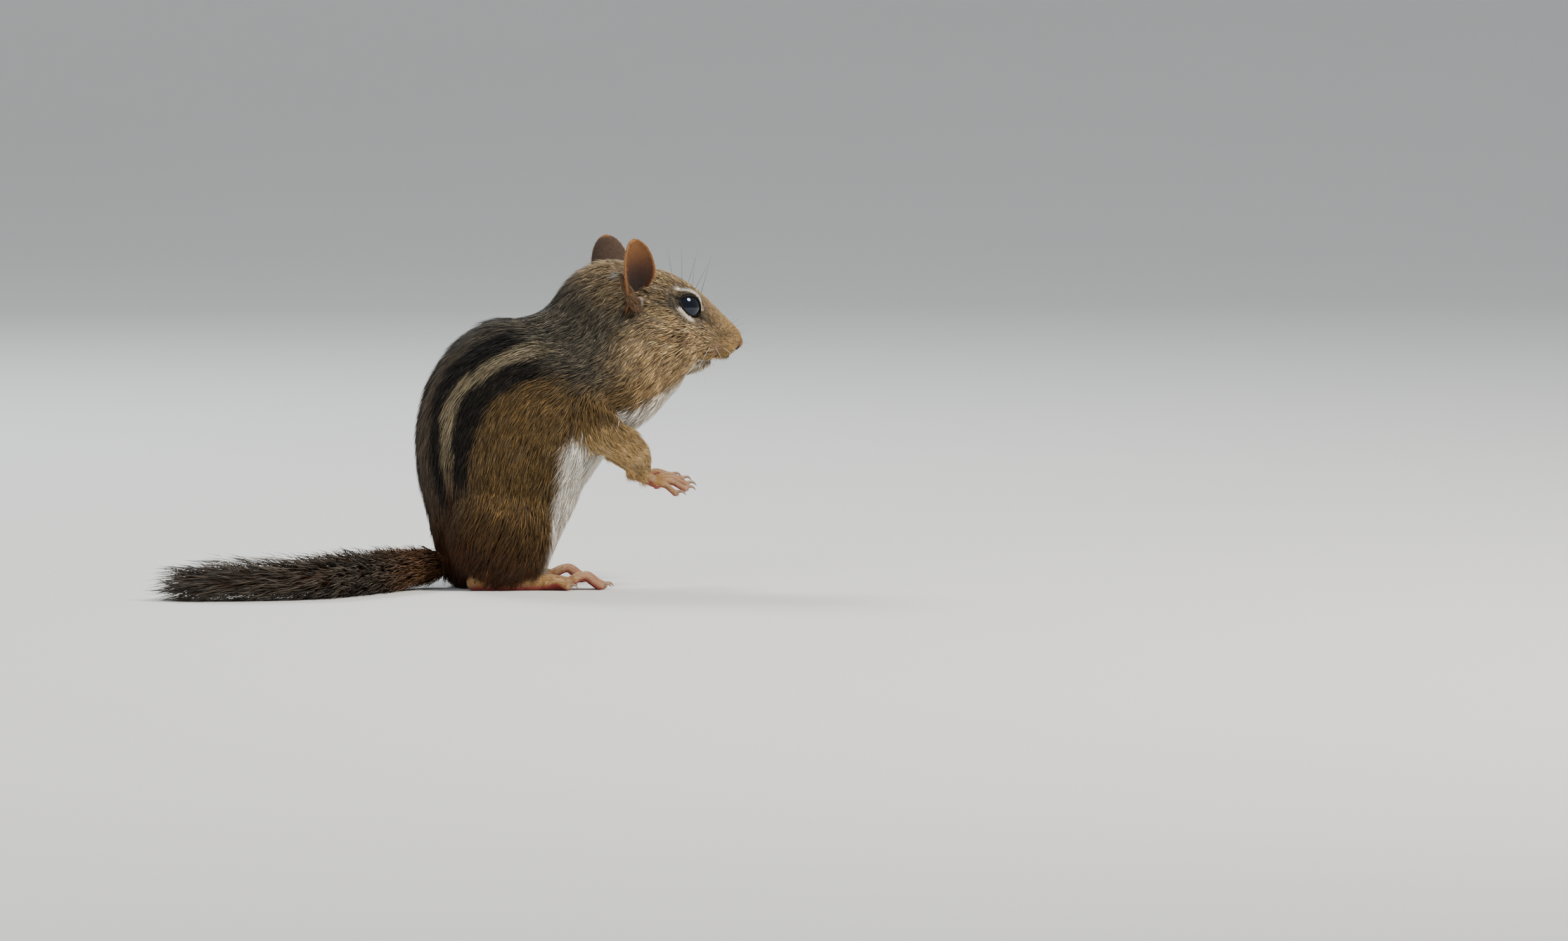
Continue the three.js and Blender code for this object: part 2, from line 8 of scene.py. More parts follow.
import bpy
import numpy as np
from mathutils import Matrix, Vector
from mathutils.kdtree import KDTree


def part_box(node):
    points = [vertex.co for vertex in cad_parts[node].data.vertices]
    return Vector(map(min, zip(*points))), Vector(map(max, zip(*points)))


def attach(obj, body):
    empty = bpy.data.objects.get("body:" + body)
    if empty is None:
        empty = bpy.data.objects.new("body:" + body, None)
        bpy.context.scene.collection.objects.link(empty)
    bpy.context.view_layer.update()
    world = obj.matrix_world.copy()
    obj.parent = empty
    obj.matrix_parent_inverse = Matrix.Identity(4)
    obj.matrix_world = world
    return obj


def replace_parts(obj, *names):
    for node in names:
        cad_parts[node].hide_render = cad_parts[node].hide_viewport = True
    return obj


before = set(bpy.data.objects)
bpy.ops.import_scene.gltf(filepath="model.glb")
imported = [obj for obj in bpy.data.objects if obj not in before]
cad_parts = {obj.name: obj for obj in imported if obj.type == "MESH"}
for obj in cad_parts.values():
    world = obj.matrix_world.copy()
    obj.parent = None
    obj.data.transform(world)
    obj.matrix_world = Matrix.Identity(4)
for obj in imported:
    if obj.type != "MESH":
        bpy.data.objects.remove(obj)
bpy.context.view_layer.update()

MM = 0.001
rng = np.random.default_rng(11)

# The animal's main sizes, as the solids have them
HEAD_TURN = math.radians(6)
TURN_AXIS = np.array([20.0, 0, 0])
EYE = {"at": [46.5, 6.0, 71.0], "radius": 4.3, "out": [0.34, 1, 0.16], "long": 6.7, "high": 4.8,
       "shift": 0.35, "tilt": math.radians(-26)}
EAR = {"base": [32.2, 10.0, 72.8], "rise": [-0.03, 0.3, 1], "open": [0.4, 0.92, 0.05],
       "height": 16.2, "half": 4.9, "wall": 0.8, "sunk": 3, "widest": 0.52, "curl": [1.3, 0.6], "lean": 1.2}
SQUARENESS = 2.15  # of the trunk's section; 2 is an ellipse
BLUNTNESS = 0.8  # of a tube's round ends
# back x, back z, under x, under z, half width, widening below, share of the head's turn, depth of the coat
TRUNK = np.array([
    [-9.6, -0.8, -1.0, -0.8, 7.5, 0.0, 0, 0.3],
    [-14.2, 4.0, 8.2, 3.4, 14.0, 0.0, 0, 1.2],
    [-16.6, 10.5, 13.8, 9.4, 17.4, 0.0, 0, 1.4],
    [-18.9, 19.7, 18.2, 18.0, 19.4, 0.02, 0, 1.5],
    [-21.2, 31.0, 22.8, 27.0, 20.8, 0.04, 0, 1.5],
    [-21.0, 42.5, 27.2, 33.0, 21.0, 0.05, 0, 1.5],
    [-17.6, 53.5, 30.4, 36.6, 20.2, 0.05, 0, 1.5],
    [-10.8, 62.4, 32.8, 39.4, 18.8, 0.05, 0, 1.4],
    [-2.0, 67.6, 35.8, 40.8, 17.2, 0.04, 0.1, 1.3],
    [6.5, 69.0, 38.9, 42.9, 15.8, 0.03, 0.3, 1.3],
    [13.0, 72.4, 41.8, 45.4, 14.8, 0.04, 0.6, 1.2],
    [19.6, 79.4, 44.5, 48.3, 14.2, 0.08, 0.9, 1.0],
    [27.6, 82.8, 47.3, 51.5, 13.6, 0.13, 1, 0.8],
    [37.6, 81.3, 49.3, 54.5, 12.4, 0.15, 1, 0.6],
    [45.2, 79.0, 51.8, 56.8, 10.3, 0.1, 1, 0.5],
    [51.8, 75.0, 55.2, 57.0, 7.7, 0.08, 1, 0.4],
    [57.8, 69.6, 58.8, 57.6, 5.6, 0.08, 1, 0.3],
    [62.1, 65.4, 62.0, 59.2, 3.8, 0.0, 1, 0.2],
    [63.4, 63.4, 63.2, 61.4, 1.5, 0.0, 1, 0.2],
])
# x, y, z, half width, half height of the right limbs' stops
ARM = np.array([
    [15.5, -8.0, 55.5, 5.6, 8.6], [18.6, -12.4, 47.8, 5.2, 7.8], [23.0, -14.0, 41.4, 4.9, 6.3],
    [28.4, -13.8, 37.6, 4.5, 5.3], [32.4, -12.8, 34.2, 3.9, 4.5], [34.5, -11.7, 31.3, 3.0, 3.3],
    [35.6, -11.2, 29.3, 2.4, 2.2],
])
SOLE = np.array([
    [-8.6, -13.0, 2.3, 2.3, 2.6], [-3.0, -13.4, 2.3, 2.6, 2.9], [4.0, -13.9, 2.1, 2.7, 2.6],
    [10.5, -14.4, 1.9, 3.0, 2.3], [15.0, -14.7, 1.6, 3.3, 1.9],
])
HAUNCH = [([-1.2, -11.6, 17.2], [14.4, 10.2, 17.6]), ([0.6, -12.8, 9.6], [11.0, 7.8, 7.8])]
HAUNCH_COAT = 1.3  # depth of the coat
PALM = {"at": [37.0, -10.9, 27.7], "half": [3.3, 2.7, 1.5], "pitch": math.radians(38),
        "pads": [(1.6, -1.6, -1.6), (1.8, 0.2, -1.7), (1.4, 1.7, -1.5), (-1.6, -1.1, -0.3),
                 (-1.5, 1.1, -0.3)],
        "pad": [0.95, 0.85, 0.7]}
FINGERS = [
    {"from": [38.2, -9.1, 27.6], "to": [45.6, -7.9, 27.4], "rise": 0.9, "thick": 0.85},
    {"from": [38.8, -10.3, 27.0], "to": [46.4, -10.2, 26.2], "rise": 1.1, "thick": 0.9},
    {"from": [38.8, -11.5, 26.7], "to": [45.8, -12.5, 25.2], "rise": 1.0, "thick": 0.9},
    {"from": [38.0, -12.6, 26.6], "to": [43.0, -14.8, 24.2], "rise": 0.8, "thick": 0.85},
    {"from": [34.8, -9.4, 28.6], "to": [36.2, -7.6, 26.9], "rise": 0.1, "thick": 0.75},
]
TOES = [
    {"from": [10.6, -12.4, 1.5], "to": [16.0, -10.4, 1.0], "rise": 1.0, "thick": 0.95},
    {"from": [15.2, -12.9, 1.7], "to": [23.2, -12.1, 1.0], "rise": 2.1, "thick": 1.05},
    {"from": [15.6, -14.3, 1.8], "to": [24.4, -14.3, 1.0], "rise": 2.3, "thick": 1.1},
    {"from": [15.2, -15.8, 1.7], "to": [23.4, -16.6, 1.0], "rise": 2.1, "thick": 1.05},
    {"from": [9.4, -16.6, 1.6], "to": [14.6, -19.0, 1.0], "rise": 1.0, "thick": 0.95},
]
CLAW = {"length": 2.5, "root": 0.47, "drop": 0.75}
# x, y, z, half width of the hair, half width of the core
TAIL = np.array([
    [-11.0, 0.5, 7.2, 7.0, 3.4], [-19.0, -3.0, 5.9, 6.3, 3.0], [-29.5, -12.0, 5.2, 6.7, 2.9],
    [-40.5, -24.0, 5.1, 7.0, 2.9], [-51.0, -33.2, 5.0, 6.8, 2.8], [-63.5, -37.2, 4.8, 6.3, 2.5],
    [-76.0, -37.4, 4.4, 5.4, 2.1], [-83.0, -36.2, 4.0, 4.0, 1.6],
])
NOSE = {"at": [62.0, 0, 61.6], "half": [1.8, 2.5, 1.85]}
NOSTRIL = {"at": [61.9, 2.6, 60.5], "half": [0.4, 0.42, 1.0], "pitch": 0.45, "sunk": 0.24}
JAW = [[43.6, 0, 57.6, 6.6, 3.6], [47.5, 0, 56.8, 4.8, 3.0], [51.5, 0, 56.6, 3.5, 2.0],
       [54.3, 0, 57.1, 2.4, 1.3]]
# centre, half sizes and pitch of the pads
MUZZLE = [([57.1, 2.9, 61.2], [4.1, 3.0, 2.8], 0.35), ([56.5, 2.4, 59.2], [3.6, 2.4, 1.5], 0.2)]
MOUTH = {"line": [(62.0, 59.9), (60.2, 58.8), (57.4, 57.8), (55.2, 57.3), (52.6, 57.0)],
         "width": 0.28, "depth": 0.4}
EAR_FOLD = [[28.0, 12.8, 80.0, 0.6, 0.6], [28.8, 13.4, 77.6, 1.1, 1.0], [30.0, 13.9, 75.0, 1.5, 1.4],
            [31.1, 14.0, 72.8, 1.6, 1.5], [32.3, 13.6, 71.2, 1.2, 1.2]]
EAR_LOBE = ([33.2, 13.0, 73.2], [1.1, 0.9, 1.3])
# How deep the skin lies behind the eye's own ball, and how far the lids and all else stand off that ball
LID = {"pit": 1.4, "swell": 0.3, "clear": 0.4}
# The parts that the coat and its colour tell apart
PARTS = ("arm", "haunch", "foot", "tail", "fold", "lobe", "muzzle")
TUFTS = {"body": 150000, "forepaws": 17000, "hind_feet": 20000, "ears": 20000}
STEP = {"body": 0.5, "paws": 0.24}  # size of the quads of each skin


# Numbers
def linear(color):
    """The linear colour of an sRGB number such as 0xA0805A."""
    srgb = np.array([(color >> shift & 255) / 255 for shift in (16, 8, 0)])
    return np.where(srgb < 0.04045, srgb / 12.92, ((srgb + 0.055) / 1.055) ** 2.4)


def smooth(low, high, value):
    share = np.clip((value - low) / (high - low), 0, 1)
    return share * share * (3 - 2 * share)


def blend(a, b, share):
    """Numbers, or whole arrays of one shape, blended by a share."""
    return a * (1 - share) + b * share


def mix(a, b, share):
    """Colours a and b blended by one share, or by a share for each place."""
    return blend(a, b, np.asarray(share)[..., None])


def unit(v):
    return v / np.maximum(np.linalg.norm(v, axis=-1, keepdims=True), 1e-9)


def spline(stops, t):
    """Uniform Catmull-Rom curve through the rows of stops; t counts stops."""
    stops = np.asarray(stops, float)
    padded = np.vstack([2 * stops[0] - stops[1], stops, 2 * stops[-1] - stops[-2]])
    i = np.clip(np.floor(t).astype(int), 0, len(stops) - 2)
    f = (t - i)[..., None]
    a, b, c, d = (padded[i + k] for k in range(4))
    return 0.5 * (2 * b + (c - a) * f + (2 * a - 5 * b + 4 * c - d) * f**2 + (3 * b - a - 3 * c + d) * f**3)


def wave(p, scale, seed):
    """A soft random field of places p in about -1..1: a sum of sines with seeded directions and phases."""
    draw = np.random.default_rng(seed)
    ways = draw.normal(size=(6, 3)) / scale
    phases = draw.uniform(0, 2 * math.pi, 6)
    return np.sin(p @ ways.T * 2.2 + phases).mean(axis=-1) * 1.6


def turned(p, share=1.0):
    """p turned with the head by a share of its turn."""
    angle = HEAD_TURN * np.asarray(share)
    x, y = p[..., 0] - TURN_AXIS[0], p[..., 1]
    ahead = TURN_AXIS[0] + x * np.cos(angle) - y * np.sin(angle)
    return np.stack([ahead, x * np.sin(angle) + y * np.cos(angle), p[..., 2]], -1)


def sided(p, side):
    """Places or stops p on the animal's left (side 1) or right (side -1)."""
    p = np.array(p, float)
    p[..., 1] = np.abs(p[..., 1]) * side
    return p


middle_of_eyes = (np.array(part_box("left_eye")) + np.array(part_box("right_eye"))).mean(axis=0) / 2 / MM
OFFSET = middle_of_eyes - turned(np.array([EYE["at"][0], 0, EYE["at"][2]]))


def place(p):
    return (p + OFFSET) * MM


# Meshes
def closed_faces(rows, columns):
    """Quads of a tube of rows rings, and a fan at each end to one of the two points that follow them."""
    j = np.arange(columns)
    after, top = (j + 1) % columns, (rows - 1) * columns
    here = np.arange(rows - 1)[:, None] * columns
    there = here + columns
    quads = np.stack([here + j, here + after, there + after, there + j], -1)
    first = np.stack([np.full(columns, rows * columns), after, j], -1)
    last = np.stack([np.full(columns, rows * columns + 1), top + j, top + after], -1)
    return quads.reshape(-1, 4), np.vstack([first, last])


def closed_grid(rings):
    """(points, quads, triangles) of the closed body through an array of rings, faces out."""
    rows, columns = rings.shape[:2]
    points = np.vstack([rings.reshape(-1, 3), rings[0].mean(axis=0), rings[-1].mean(axis=0)])
    quads, fans = closed_faces(rows, columns)
    a, b, c = (points[np.vstack([quads[:, :3], quads[:, [0, 2, 3]], fans])[:, k]] for k in range(3))
    if np.sum(a * np.cross(b, c)) < 0:
        quads, fans = quads[:, ::-1], fans[:, ::-1]
    return points, quads, fans


def mesh_piece(name, mesh, material):
    """A piece of the model, from its finished mesh."""
    obj = bpy.data.objects.new(name, mesh)
    bpy.context.scene.collection.objects.link(obj)
    mesh.materials.append(material)
    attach(obj, "root")
    return obj


def mesh_object(name, parts, material):
    """One object from (points, quads, triangles) parts in millimetres."""
    points, faces, start = [], [], 0
    for places, *groups in parts:
        points.append(places)
        faces += [f for group in groups for f in (group + start).tolist()]
        start += len(places)
    mesh = bpy.data.meshes.new(name)
    mesh.from_pydata(place(np.vstack(points)).tolist(), [], faces)
    mesh.polygons.foreach_set("use_smooth", np.ones(len(mesh.polygons), bool))
    mesh.validate()
    mesh.update()
    return mesh_piece(name, mesh, material)


def tube_rings(stops, rows=40, columns=32, across=(0, 1, 0), shrink=0.0):
    """An oval carried along a spline, with round ends: stops are x, y, z, half width, half height."""
    stops, across = np.asarray(stops, float), np.array(across, float)
    last = len(stops) - 1
    cap = np.radians([88, 70, 50, 25])
    t = np.concatenate([np.zeros(4), np.linspace(0, 1, rows), np.ones(4)]) * last
    push = np.concatenate([-np.sin(cap), np.zeros(rows), np.sin(cap[::-1])]) * BLUNTNESS
    share = np.concatenate([np.cos(cap), np.ones(rows), np.cos(cap[::-1])])
    centre, size = spline(stops[:, :3], t), spline(stops[:, 3:5], t) - shrink
    after, before = np.clip(t + 0.02, 0, last), np.clip(t - 0.02, 0, last)
    ahead = unit(spline(stops[:, :3], after) - spline(stops[:, :3], before))
    side = unit(across - (ahead @ across)[:, None] * ahead)
    up = np.cross(ahead, side)
    centre = centre + ahead * (push * size.min(axis=1))[:, None]
    angle = np.arange(columns) / columns * 2 * math.pi
    over = np.cos(angle)[None, :, None] * side[:, None] * (size[:, 0] * share)[:, None, None]
    rise = np.sin(angle)[None, :, None] * up[:, None] * (size[:, 1] * share)[:, None, None]
    return centre[:, None] + over + rise


def ball_rings(at, half, pitch=0.0, rows=24, columns=32):
    """An ellipsoid, pitched about Y: half times (cos up cos around, cos up sin around, sin up)."""
    up, around = np.meshgrid(np.linspace(-88, 88, rows) * math.pi / 180,
                             np.arange(columns) / columns * 2 * math.pi, indexing="ij")
    ball = np.stack([np.cos(up) * np.cos(around), np.cos(up) * np.sin(around), np.sin(up)], -1)
    level, lean = math.cos(pitch), math.sin(pitch)
    pitched = np.array([[level, 0, lean], [0, 1, 0], [-lean, 0, level]])
    return ball * np.array(half) @ pitched.T + np.array(at)


# The forms
def rounded(v):
    """sgn(v)|v|^k, which squares an oval a little."""
    return np.sign(v) * np.abs(v) ** (2 / SQUARENESS)


def trunk_rings(rows=241, columns=96):
    """Rings from seat to nose, with t and theta: p = centre + half * sgn(cos a)|cos a|^k, and
    y = -half width * sgn(sin a)|sin a|^k, each less the depth of the coat."""
    t = np.linspace(0, len(TRUNK) - 1, rows)
    s = spline(TRUNK, t)[:, None]
    angle = (np.arange(columns) / columns * 2 * math.pi)[None]
    back, under, depth = s[..., 0:2], s[..., 2:4], s[..., 7]
    half = (back - under) / 2
    tall = np.linalg.norm(half, axis=-1)
    flat = (back + under) / 2 + half * (rounded(np.cos(angle)) * (1 - depth / tall))[..., None]
    y = -rounded(np.sin(angle)) * (s[..., 4] - depth) * (1 - s[..., 5] * np.cos(angle))
    rings = turned(np.stack([flat[..., 0], y, flat[..., 1]], -1), s[..., 6])
    theta = np.degrees(np.minimum(angle, 2 * math.pi - angle))
    return rings, np.broadcast_to(t[:, None], y.shape), np.broadcast_to(theta, y.shape)


def digit_stops(digit, side):
    """Stops of a finger or toe, bowed up in its middle and full at its tip."""
    a, b = sided(digit["from"], side), sided(digit["to"], side)
    bow = (a + b) / 2 + [0, 0, digit["rise"]]
    thick = digit["thick"]
    rows = [(a, 1.1, 1.1), (bow, 0.92, 0.92), (bow * 0.35 + b * 0.65, 0.95, 0.9), (b, 1.2, 1.05)]
    return np.array([[*at, thick * wide, thick * high] for at, wide, high in rows])


def claw_rings(digit, side):
    """A claw: a tube that thins to a point, from the tip of its digit ahead and down."""
    a, b = sided(digit["from"], side), sided(digit["to"], side)
    ahead = unit((b - a) * [1, 1, 0])
    thick, long, root = digit["thick"], CLAW["length"], CLAW["root"]
    start = b + ahead * thick * 0.3 + [0, 0, thick * 0.45]
    bend = start + ahead * long * 0.6 + [0, 0, 0.12]
    tip = start + ahead * long - [0, 0, CLAW["drop"]]
    stops = [[*start, root * 0.72, root], [*bend, root * 0.5, root * 0.72], [*tip, 0.06, 0.07]]
    return tube_rings(stops, rows=10, columns=12, across=np.cross([0, 0, 1], ahead))


def ear_surface(side, rows=70, columns=40):
    """An ear as a closed cup of two faces, one wall apart: the rings, u across from -1 to 1, v up from
    below the root to 1, and 1 on the inner face. Its width follows an oval above the widest place and a
    sine below it."""
    rise, way = unit(sided(EAR["rise"], side)), sided(EAR["open"], side)
    way = unit(way - rise * (way @ rise))
    wide = np.cross(rise, way)
    sunk = EAR["sunk"] / EAR["height"]
    v = (-sunk + (1 + sunk) * np.sin(np.linspace(0, 1, rows) * math.pi / 2))[:, None]
    over = np.linspace(-1, 1, columns + 1)
    u = np.concatenate([over, over[-2:0:-1]])[None]
    inside = np.concatenate([np.zeros(columns + 1), np.ones(columns - 1)])[None]
    up, widest = np.maximum(v, 0), EAR["widest"]
    crown = np.sqrt(np.maximum(1 - ((up - widest) / (1.001 - widest)) ** 2, 0))
    share = np.where(up > widest, crown, 0.72 + 0.28 * np.sin(np.minimum(up / widest, 1) * math.pi / 2))
    curl = EAR["curl"][0] + (EAR["curl"][1] - EAR["curl"][0]) * up
    radius = EAR["half"] * np.maximum(share, 0.05) / np.sin(curl)
    wall = EAR["wall"] / 2 * np.sqrt(np.maximum(1 - np.abs(u) ** 6, 0))
    wall = wall * np.sqrt(np.clip((1.02 - v) * 12, 0.1, 1))
    reach = radius + np.where(inside > 0, -wall, wall)
    front_edge = np.clip(-side * u, 0, 1) ** 1.4
    bow = radius - reach * np.cos(curl * u) - EAR["lean"] * up * up
    bow = bow - 3.4 * front_edge * (1 - smooth(0.0, 0.5, v)) - 1.2 * (1 - smooth(-0.18, 0.12, v))
    spread = reach * np.sin(curl * u)
    base = sided(EAR["base"], side)
    p = base + rise * (EAR["height"] * v)[..., None] + wide * spread[..., None] + way * bow[..., None]
    return turned(p), *(np.broadcast_to(values, spread.shape) for values in (u, v, inside))


def eye_frame(side):
    """(centre, forward, up, outward) of an eye, turned with the head."""
    out = unit(sided(EYE["out"], side))
    fore = np.array([math.cos(EYE["tilt"]), 0, math.sin(EYE["tilt"])])
    fore = unit(fore - out * (fore @ out))
    up = np.cross(out, fore)
    up = up if up[2] > 0 else -up
    centre = turned(sided(EYE["at"], side))
    ways = [turned(w + TURN_AXIS) - TURN_AXIS for w in (fore, up, out)]
    return centre, *ways


def eye_places(p, side):
    """Places p in an eye's own plane (ahead, up, out), and their share of the way out to the lids' line."""
    centre, *ways = eye_frame(side)
    a, b, d = np.array(ways) @ (p - centre).T
    return a, b, d, np.hypot((a - EYE["shift"]) / (EYE["long"] / 2), b / (EYE["high"] / 2))


def opening(angle):
    """The line of the lids in the eye's own plane, millimetres: an oval drawn out to its two corners."""
    a = EYE["long"] / 2 * np.cos(angle) * (1 + 0.14 * np.abs(np.cos(angle)) ** 12) + EYE["shift"]
    rise = np.sign(np.sin(angle)) * np.abs(np.sin(angle)) ** (1.2 + 0.2 * np.cos(angle))
    b = EYE["high"] / 2 * 1.04 * rise
    return a, b


# Markings: the same for skin and coat
STRIPE_T = [3.3, 4.0, 4.6, 5.5, 6.1, 6.6, 7.0, 7.4, 8.2]
STRIPE_EDGES = {  # degrees round the trunk from the spine
    "dark_in": [30, 27, 25, 23, 21, 21, 24, 28, 33],
    "dark_out": [39, 38, 37, 33, 34, 39, 44, 48, 53],
    "pale_out": [47, 47, 47, 45, 46, 50, 55, 61, 69],
    "second_out": [55, 57, 60, 62, 64, 69, 74, 79, 85],
}
BELLY_T = [0, 2.0, 2.6, 3.1, 3.6, 4.2, 4.8, 5.6, 6.6, 8.0, 9.1, 10.3, 11.4, 12.4, 14, 16, 18]
BELLY_EDGE = [128, 131, 130, 128, 126, 124, 120, 116, 121, 130, 136, 141, 148, 156, 160, 158, 150]
# Lines round the eye, millimetres ahead and up in its own plane
EYE_LINE_ABOVE = [(-4.3, 2.9), (-2.8, 3.5), (-0.6, 3.8), (2.0, 3.2), (4.3, 1.2)]
EYE_LINE_BELOW = [(-2.3, -2.4), (0.6, -3.2), (3.4, -3.5), (5.6, -3.2)]
EYE_CORNERS = [[(-3.2, 0.0), (-5.3, 0.1)], [(3.8, -0.6), (5.0, -1.5)]]
EYE_DEPTH = 0.6  # how much depth counts beside distance across the eye, where a line's width is measured
SHADES = {name: linear(color) for name, color in {
    "nape": 0x4A4336, "back": 0x554A3D, "flank": 0x68502B, "rump": 0x42240A, "belly": 0xE8E1D4,
    "dark": 0x16110E, "cream": 0x8C7D60, "crown": 0x9C8159, "cheek": 0xB39467, "muzzle": 0xCDA060,
    "ring": 0xE9DFC8, "arm": 0xBB9962, "foot": 0x916A39, "palm": 0x95423A, "finger": 0xA67860,
    "ear_back": 0x4B3A2E, "ear_in": 0x3D2214, "ear_rim": 0xA6713A, "tail": 0x433A30,
    "tail_root": 0x5F3D1E, "patch": 0xD8D4CC, "throat": 0xE0D5C0, "lip": 0xC19A86, "fold": 0x8C6238,
    "lobe": 0xB79C8C, "paw_hair": 0xD0B68E, "nose": 0x8E623F,
}.items()}


def between(value, low, high, soft):
    """1 from low to high, 0 outside, soft at both ends."""
    return smooth(low - soft, low + soft, value) * (1 - smooth(high - soft, high + soft, value))


def head_frame(p):
    """Places p undone from the head's turn, with y as a distance from the middle."""
    q = turned(p, -1.0)
    q[:, 1] = np.abs(q[:, 1])
    return q


def blob(q, at, size, soft=0.35):
    """1 inside an ellipsoid of the head, 0 outside, soft between."""
    far = np.linalg.norm((q - np.array(at)) / np.array(size), axis=1)
    return 1 - smooth(1 - soft, 1 + soft, far)


def stroke(flat, path, width, core=0.6):
    """1 on the line through the points of path as far as core times width, 0 past 1.3 times width."""
    path = np.array(path, float)
    far = np.full(len(flat), 1e9)
    for a, b in zip(path[:-1], path[1:]):
        share = np.clip(((flat - a) @ (b - a)) / ((b - a) @ (b - a)), 0, 1)
        far = np.minimum(far, np.linalg.norm(flat - a - share[:, None] * (b - a), axis=1))
    return 1 - smooth(width * core, width * 1.3, far)


def nose_zone(q):
    return blob(q, [62.6, 0, 61.1], [2.3, 3.2, 2.1], 0.3)


def mouth_groove(q):
    """How deep, from 0 to 1, the line of the mouth is at each place."""
    return stroke(q[:, [0, 2]], MOUTH["line"], MOUTH["width"])


def on_lids(path):
    """Points of the eye's own plane laid on the lids, with their depth times EYE_DEPTH."""
    flat = np.array(path, float)
    rise = np.sqrt(np.maximum((EYE["radius"] + 0.5) ** 2 - (flat**2).sum(axis=1), 4.0))
    return np.column_stack([flat, EYE_DEPTH * rise])


def with_stripes(color, t, theta):
    """Five dark stripes, the middle one on the spine, with two pale ones on each side."""
    edges = {name: np.interp(t, STRIPE_T, values) for name, values in STRIPE_EDGES.items()}
    dark = between(theta, edges["dark_in"], edges["dark_out"], 1.6) * between(t, 3.5, 8.4, 0.35)
    pale = between(theta, edges["dark_out"], edges["pale_out"], 1.4) * between(t, 3.1, 8.5, 0.5)
    second = between(theta, edges["pale_out"], edges["second_out"], 1.6) * between(t, 4.0, 8.0, 0.3)
    spine = (1 - smooth(2.5, 5.5, theta)) * between(t, 3.0, 10.4, 0.6)
    color = mix(color, mix(SHADES["rump"], SHADES["cream"], smooth(3.4, 5.0, t)), pale)
    black = np.maximum(np.maximum(dark, second), spine * 0.9)
    return mix(color, SHADES["dark"], np.clip(black, 0, 1) * 0.96)


def with_eye_marks(color, p):
    """Dark lids and corners, and a pale crescent above and below each eye."""
    for side in (1, -1):
        a, b, out, rho = eye_places(p, side)
        flat, deep = np.column_stack([a, b]), np.column_stack([a, b, EYE_DEPTH * out])
        near = (out > 0).astype(float)
        corners = sum(stroke(flat, line, 0.4) for line in EYE_CORNERS)
        shadow = (1 - smooth(1.25, 1.6, rho)) * near * smooth(-1.5, 0.5, b)
        color = mix(color, SHADES["crown"] * 0.45, shadow)
        color = mix(color, SHADES["dark"], np.clip(corners, 0, 1) * near * 0.9)
        color = mix(color, SHADES["ring"], stroke(deep, on_lids(EYE_LINE_ABOVE), 0.55) * 0.9 * near)
        color = mix(color, SHADES["ring"], stroke(deep, on_lids(EYE_LINE_BELOW), 0.7) * near)
        color = mix(color, SHADES["dark"], (1 - smooth(1.06, 1.2, rho)) * near)
    return color


def with_face_marks(color, p, t):
    """Lines behind and before the eye, drawn as seen from the side, and patches at ear and lips, and at the
    chin a darker tone that is partly its own golden hair and partly painted shade under the jaw.
    """
    q = head_frame(p)
    flat, aside = q[:, [0, 2]], q[:, 1]
    on_head = smooth(11.5, 12.6, t)

    def with_lines(color, lines):
        """Each line has a shade, a path, a width, a strength, and its share by distance from the middle."""
        for shade, path, width, strength, reach in lines:
            color = mix(color, shade, stroke(flat, path, width, 0.5) * on_head * strength * reach)
        return color

    color = with_lines(color, (
        (SHADES["crown"] * 0.55, [[41.6, 73.2], [36.6, 74.4]], 1.0, 0.75, smooth(4, 6, aside)),
        (SHADES["dark"], [[50.6, 68.4], [55.0, 66.0]], 0.5, 0.55, smooth(3, 4.5, aside)),
        (SHADES["ring"], [[40.4, 75.6], [36.2, 77.2]], 0.8, 0.15, smooth(4, 6, aside)),
    ))
    color = with_eye_marks(color, p)
    color = with_lines(color, (
        (SHADES["arm"] * 1.15, [[43.6, 68.6], [36.6, 71.6]], 1.5, 0.4, 1),
        (SHADES["rump"], [[48, 63.5], [37, 65.0]], 1.3, 0.5, 1),
        (SHADES["dark"], [[41.4, 67.2], [40.6, 65.6]], 0.6, 0.55, 1),
    ))
    for shade, at, size, soft, strength in (
        (SHADES["patch"], [30.4, 8.4, 80.4], [0.9, 2.2, 1.9], 0.35, 0.8),
        (SHADES["lip"], [55.8, 4.0, 60.6], [2.0, 2.4, 1.6], 0.6, 0.6),
        (SHADES["dark"], [56.4, 4.4, 63.6], [2.8, 2.4, 1.2], 0.7, 0.4),
        # The chin: a darker cheek tone, partly the chin's own golden hair and partly painted shade under the
        # jaw
        (SHADES["cheek"] * 0.8, [53.0, 0, 55.6], [4.0, 5.0, 2.2], 0.5, 0.6),
    ):
        color = mix(color, shade, blob(q, at, size, soft) * strength)
    return color


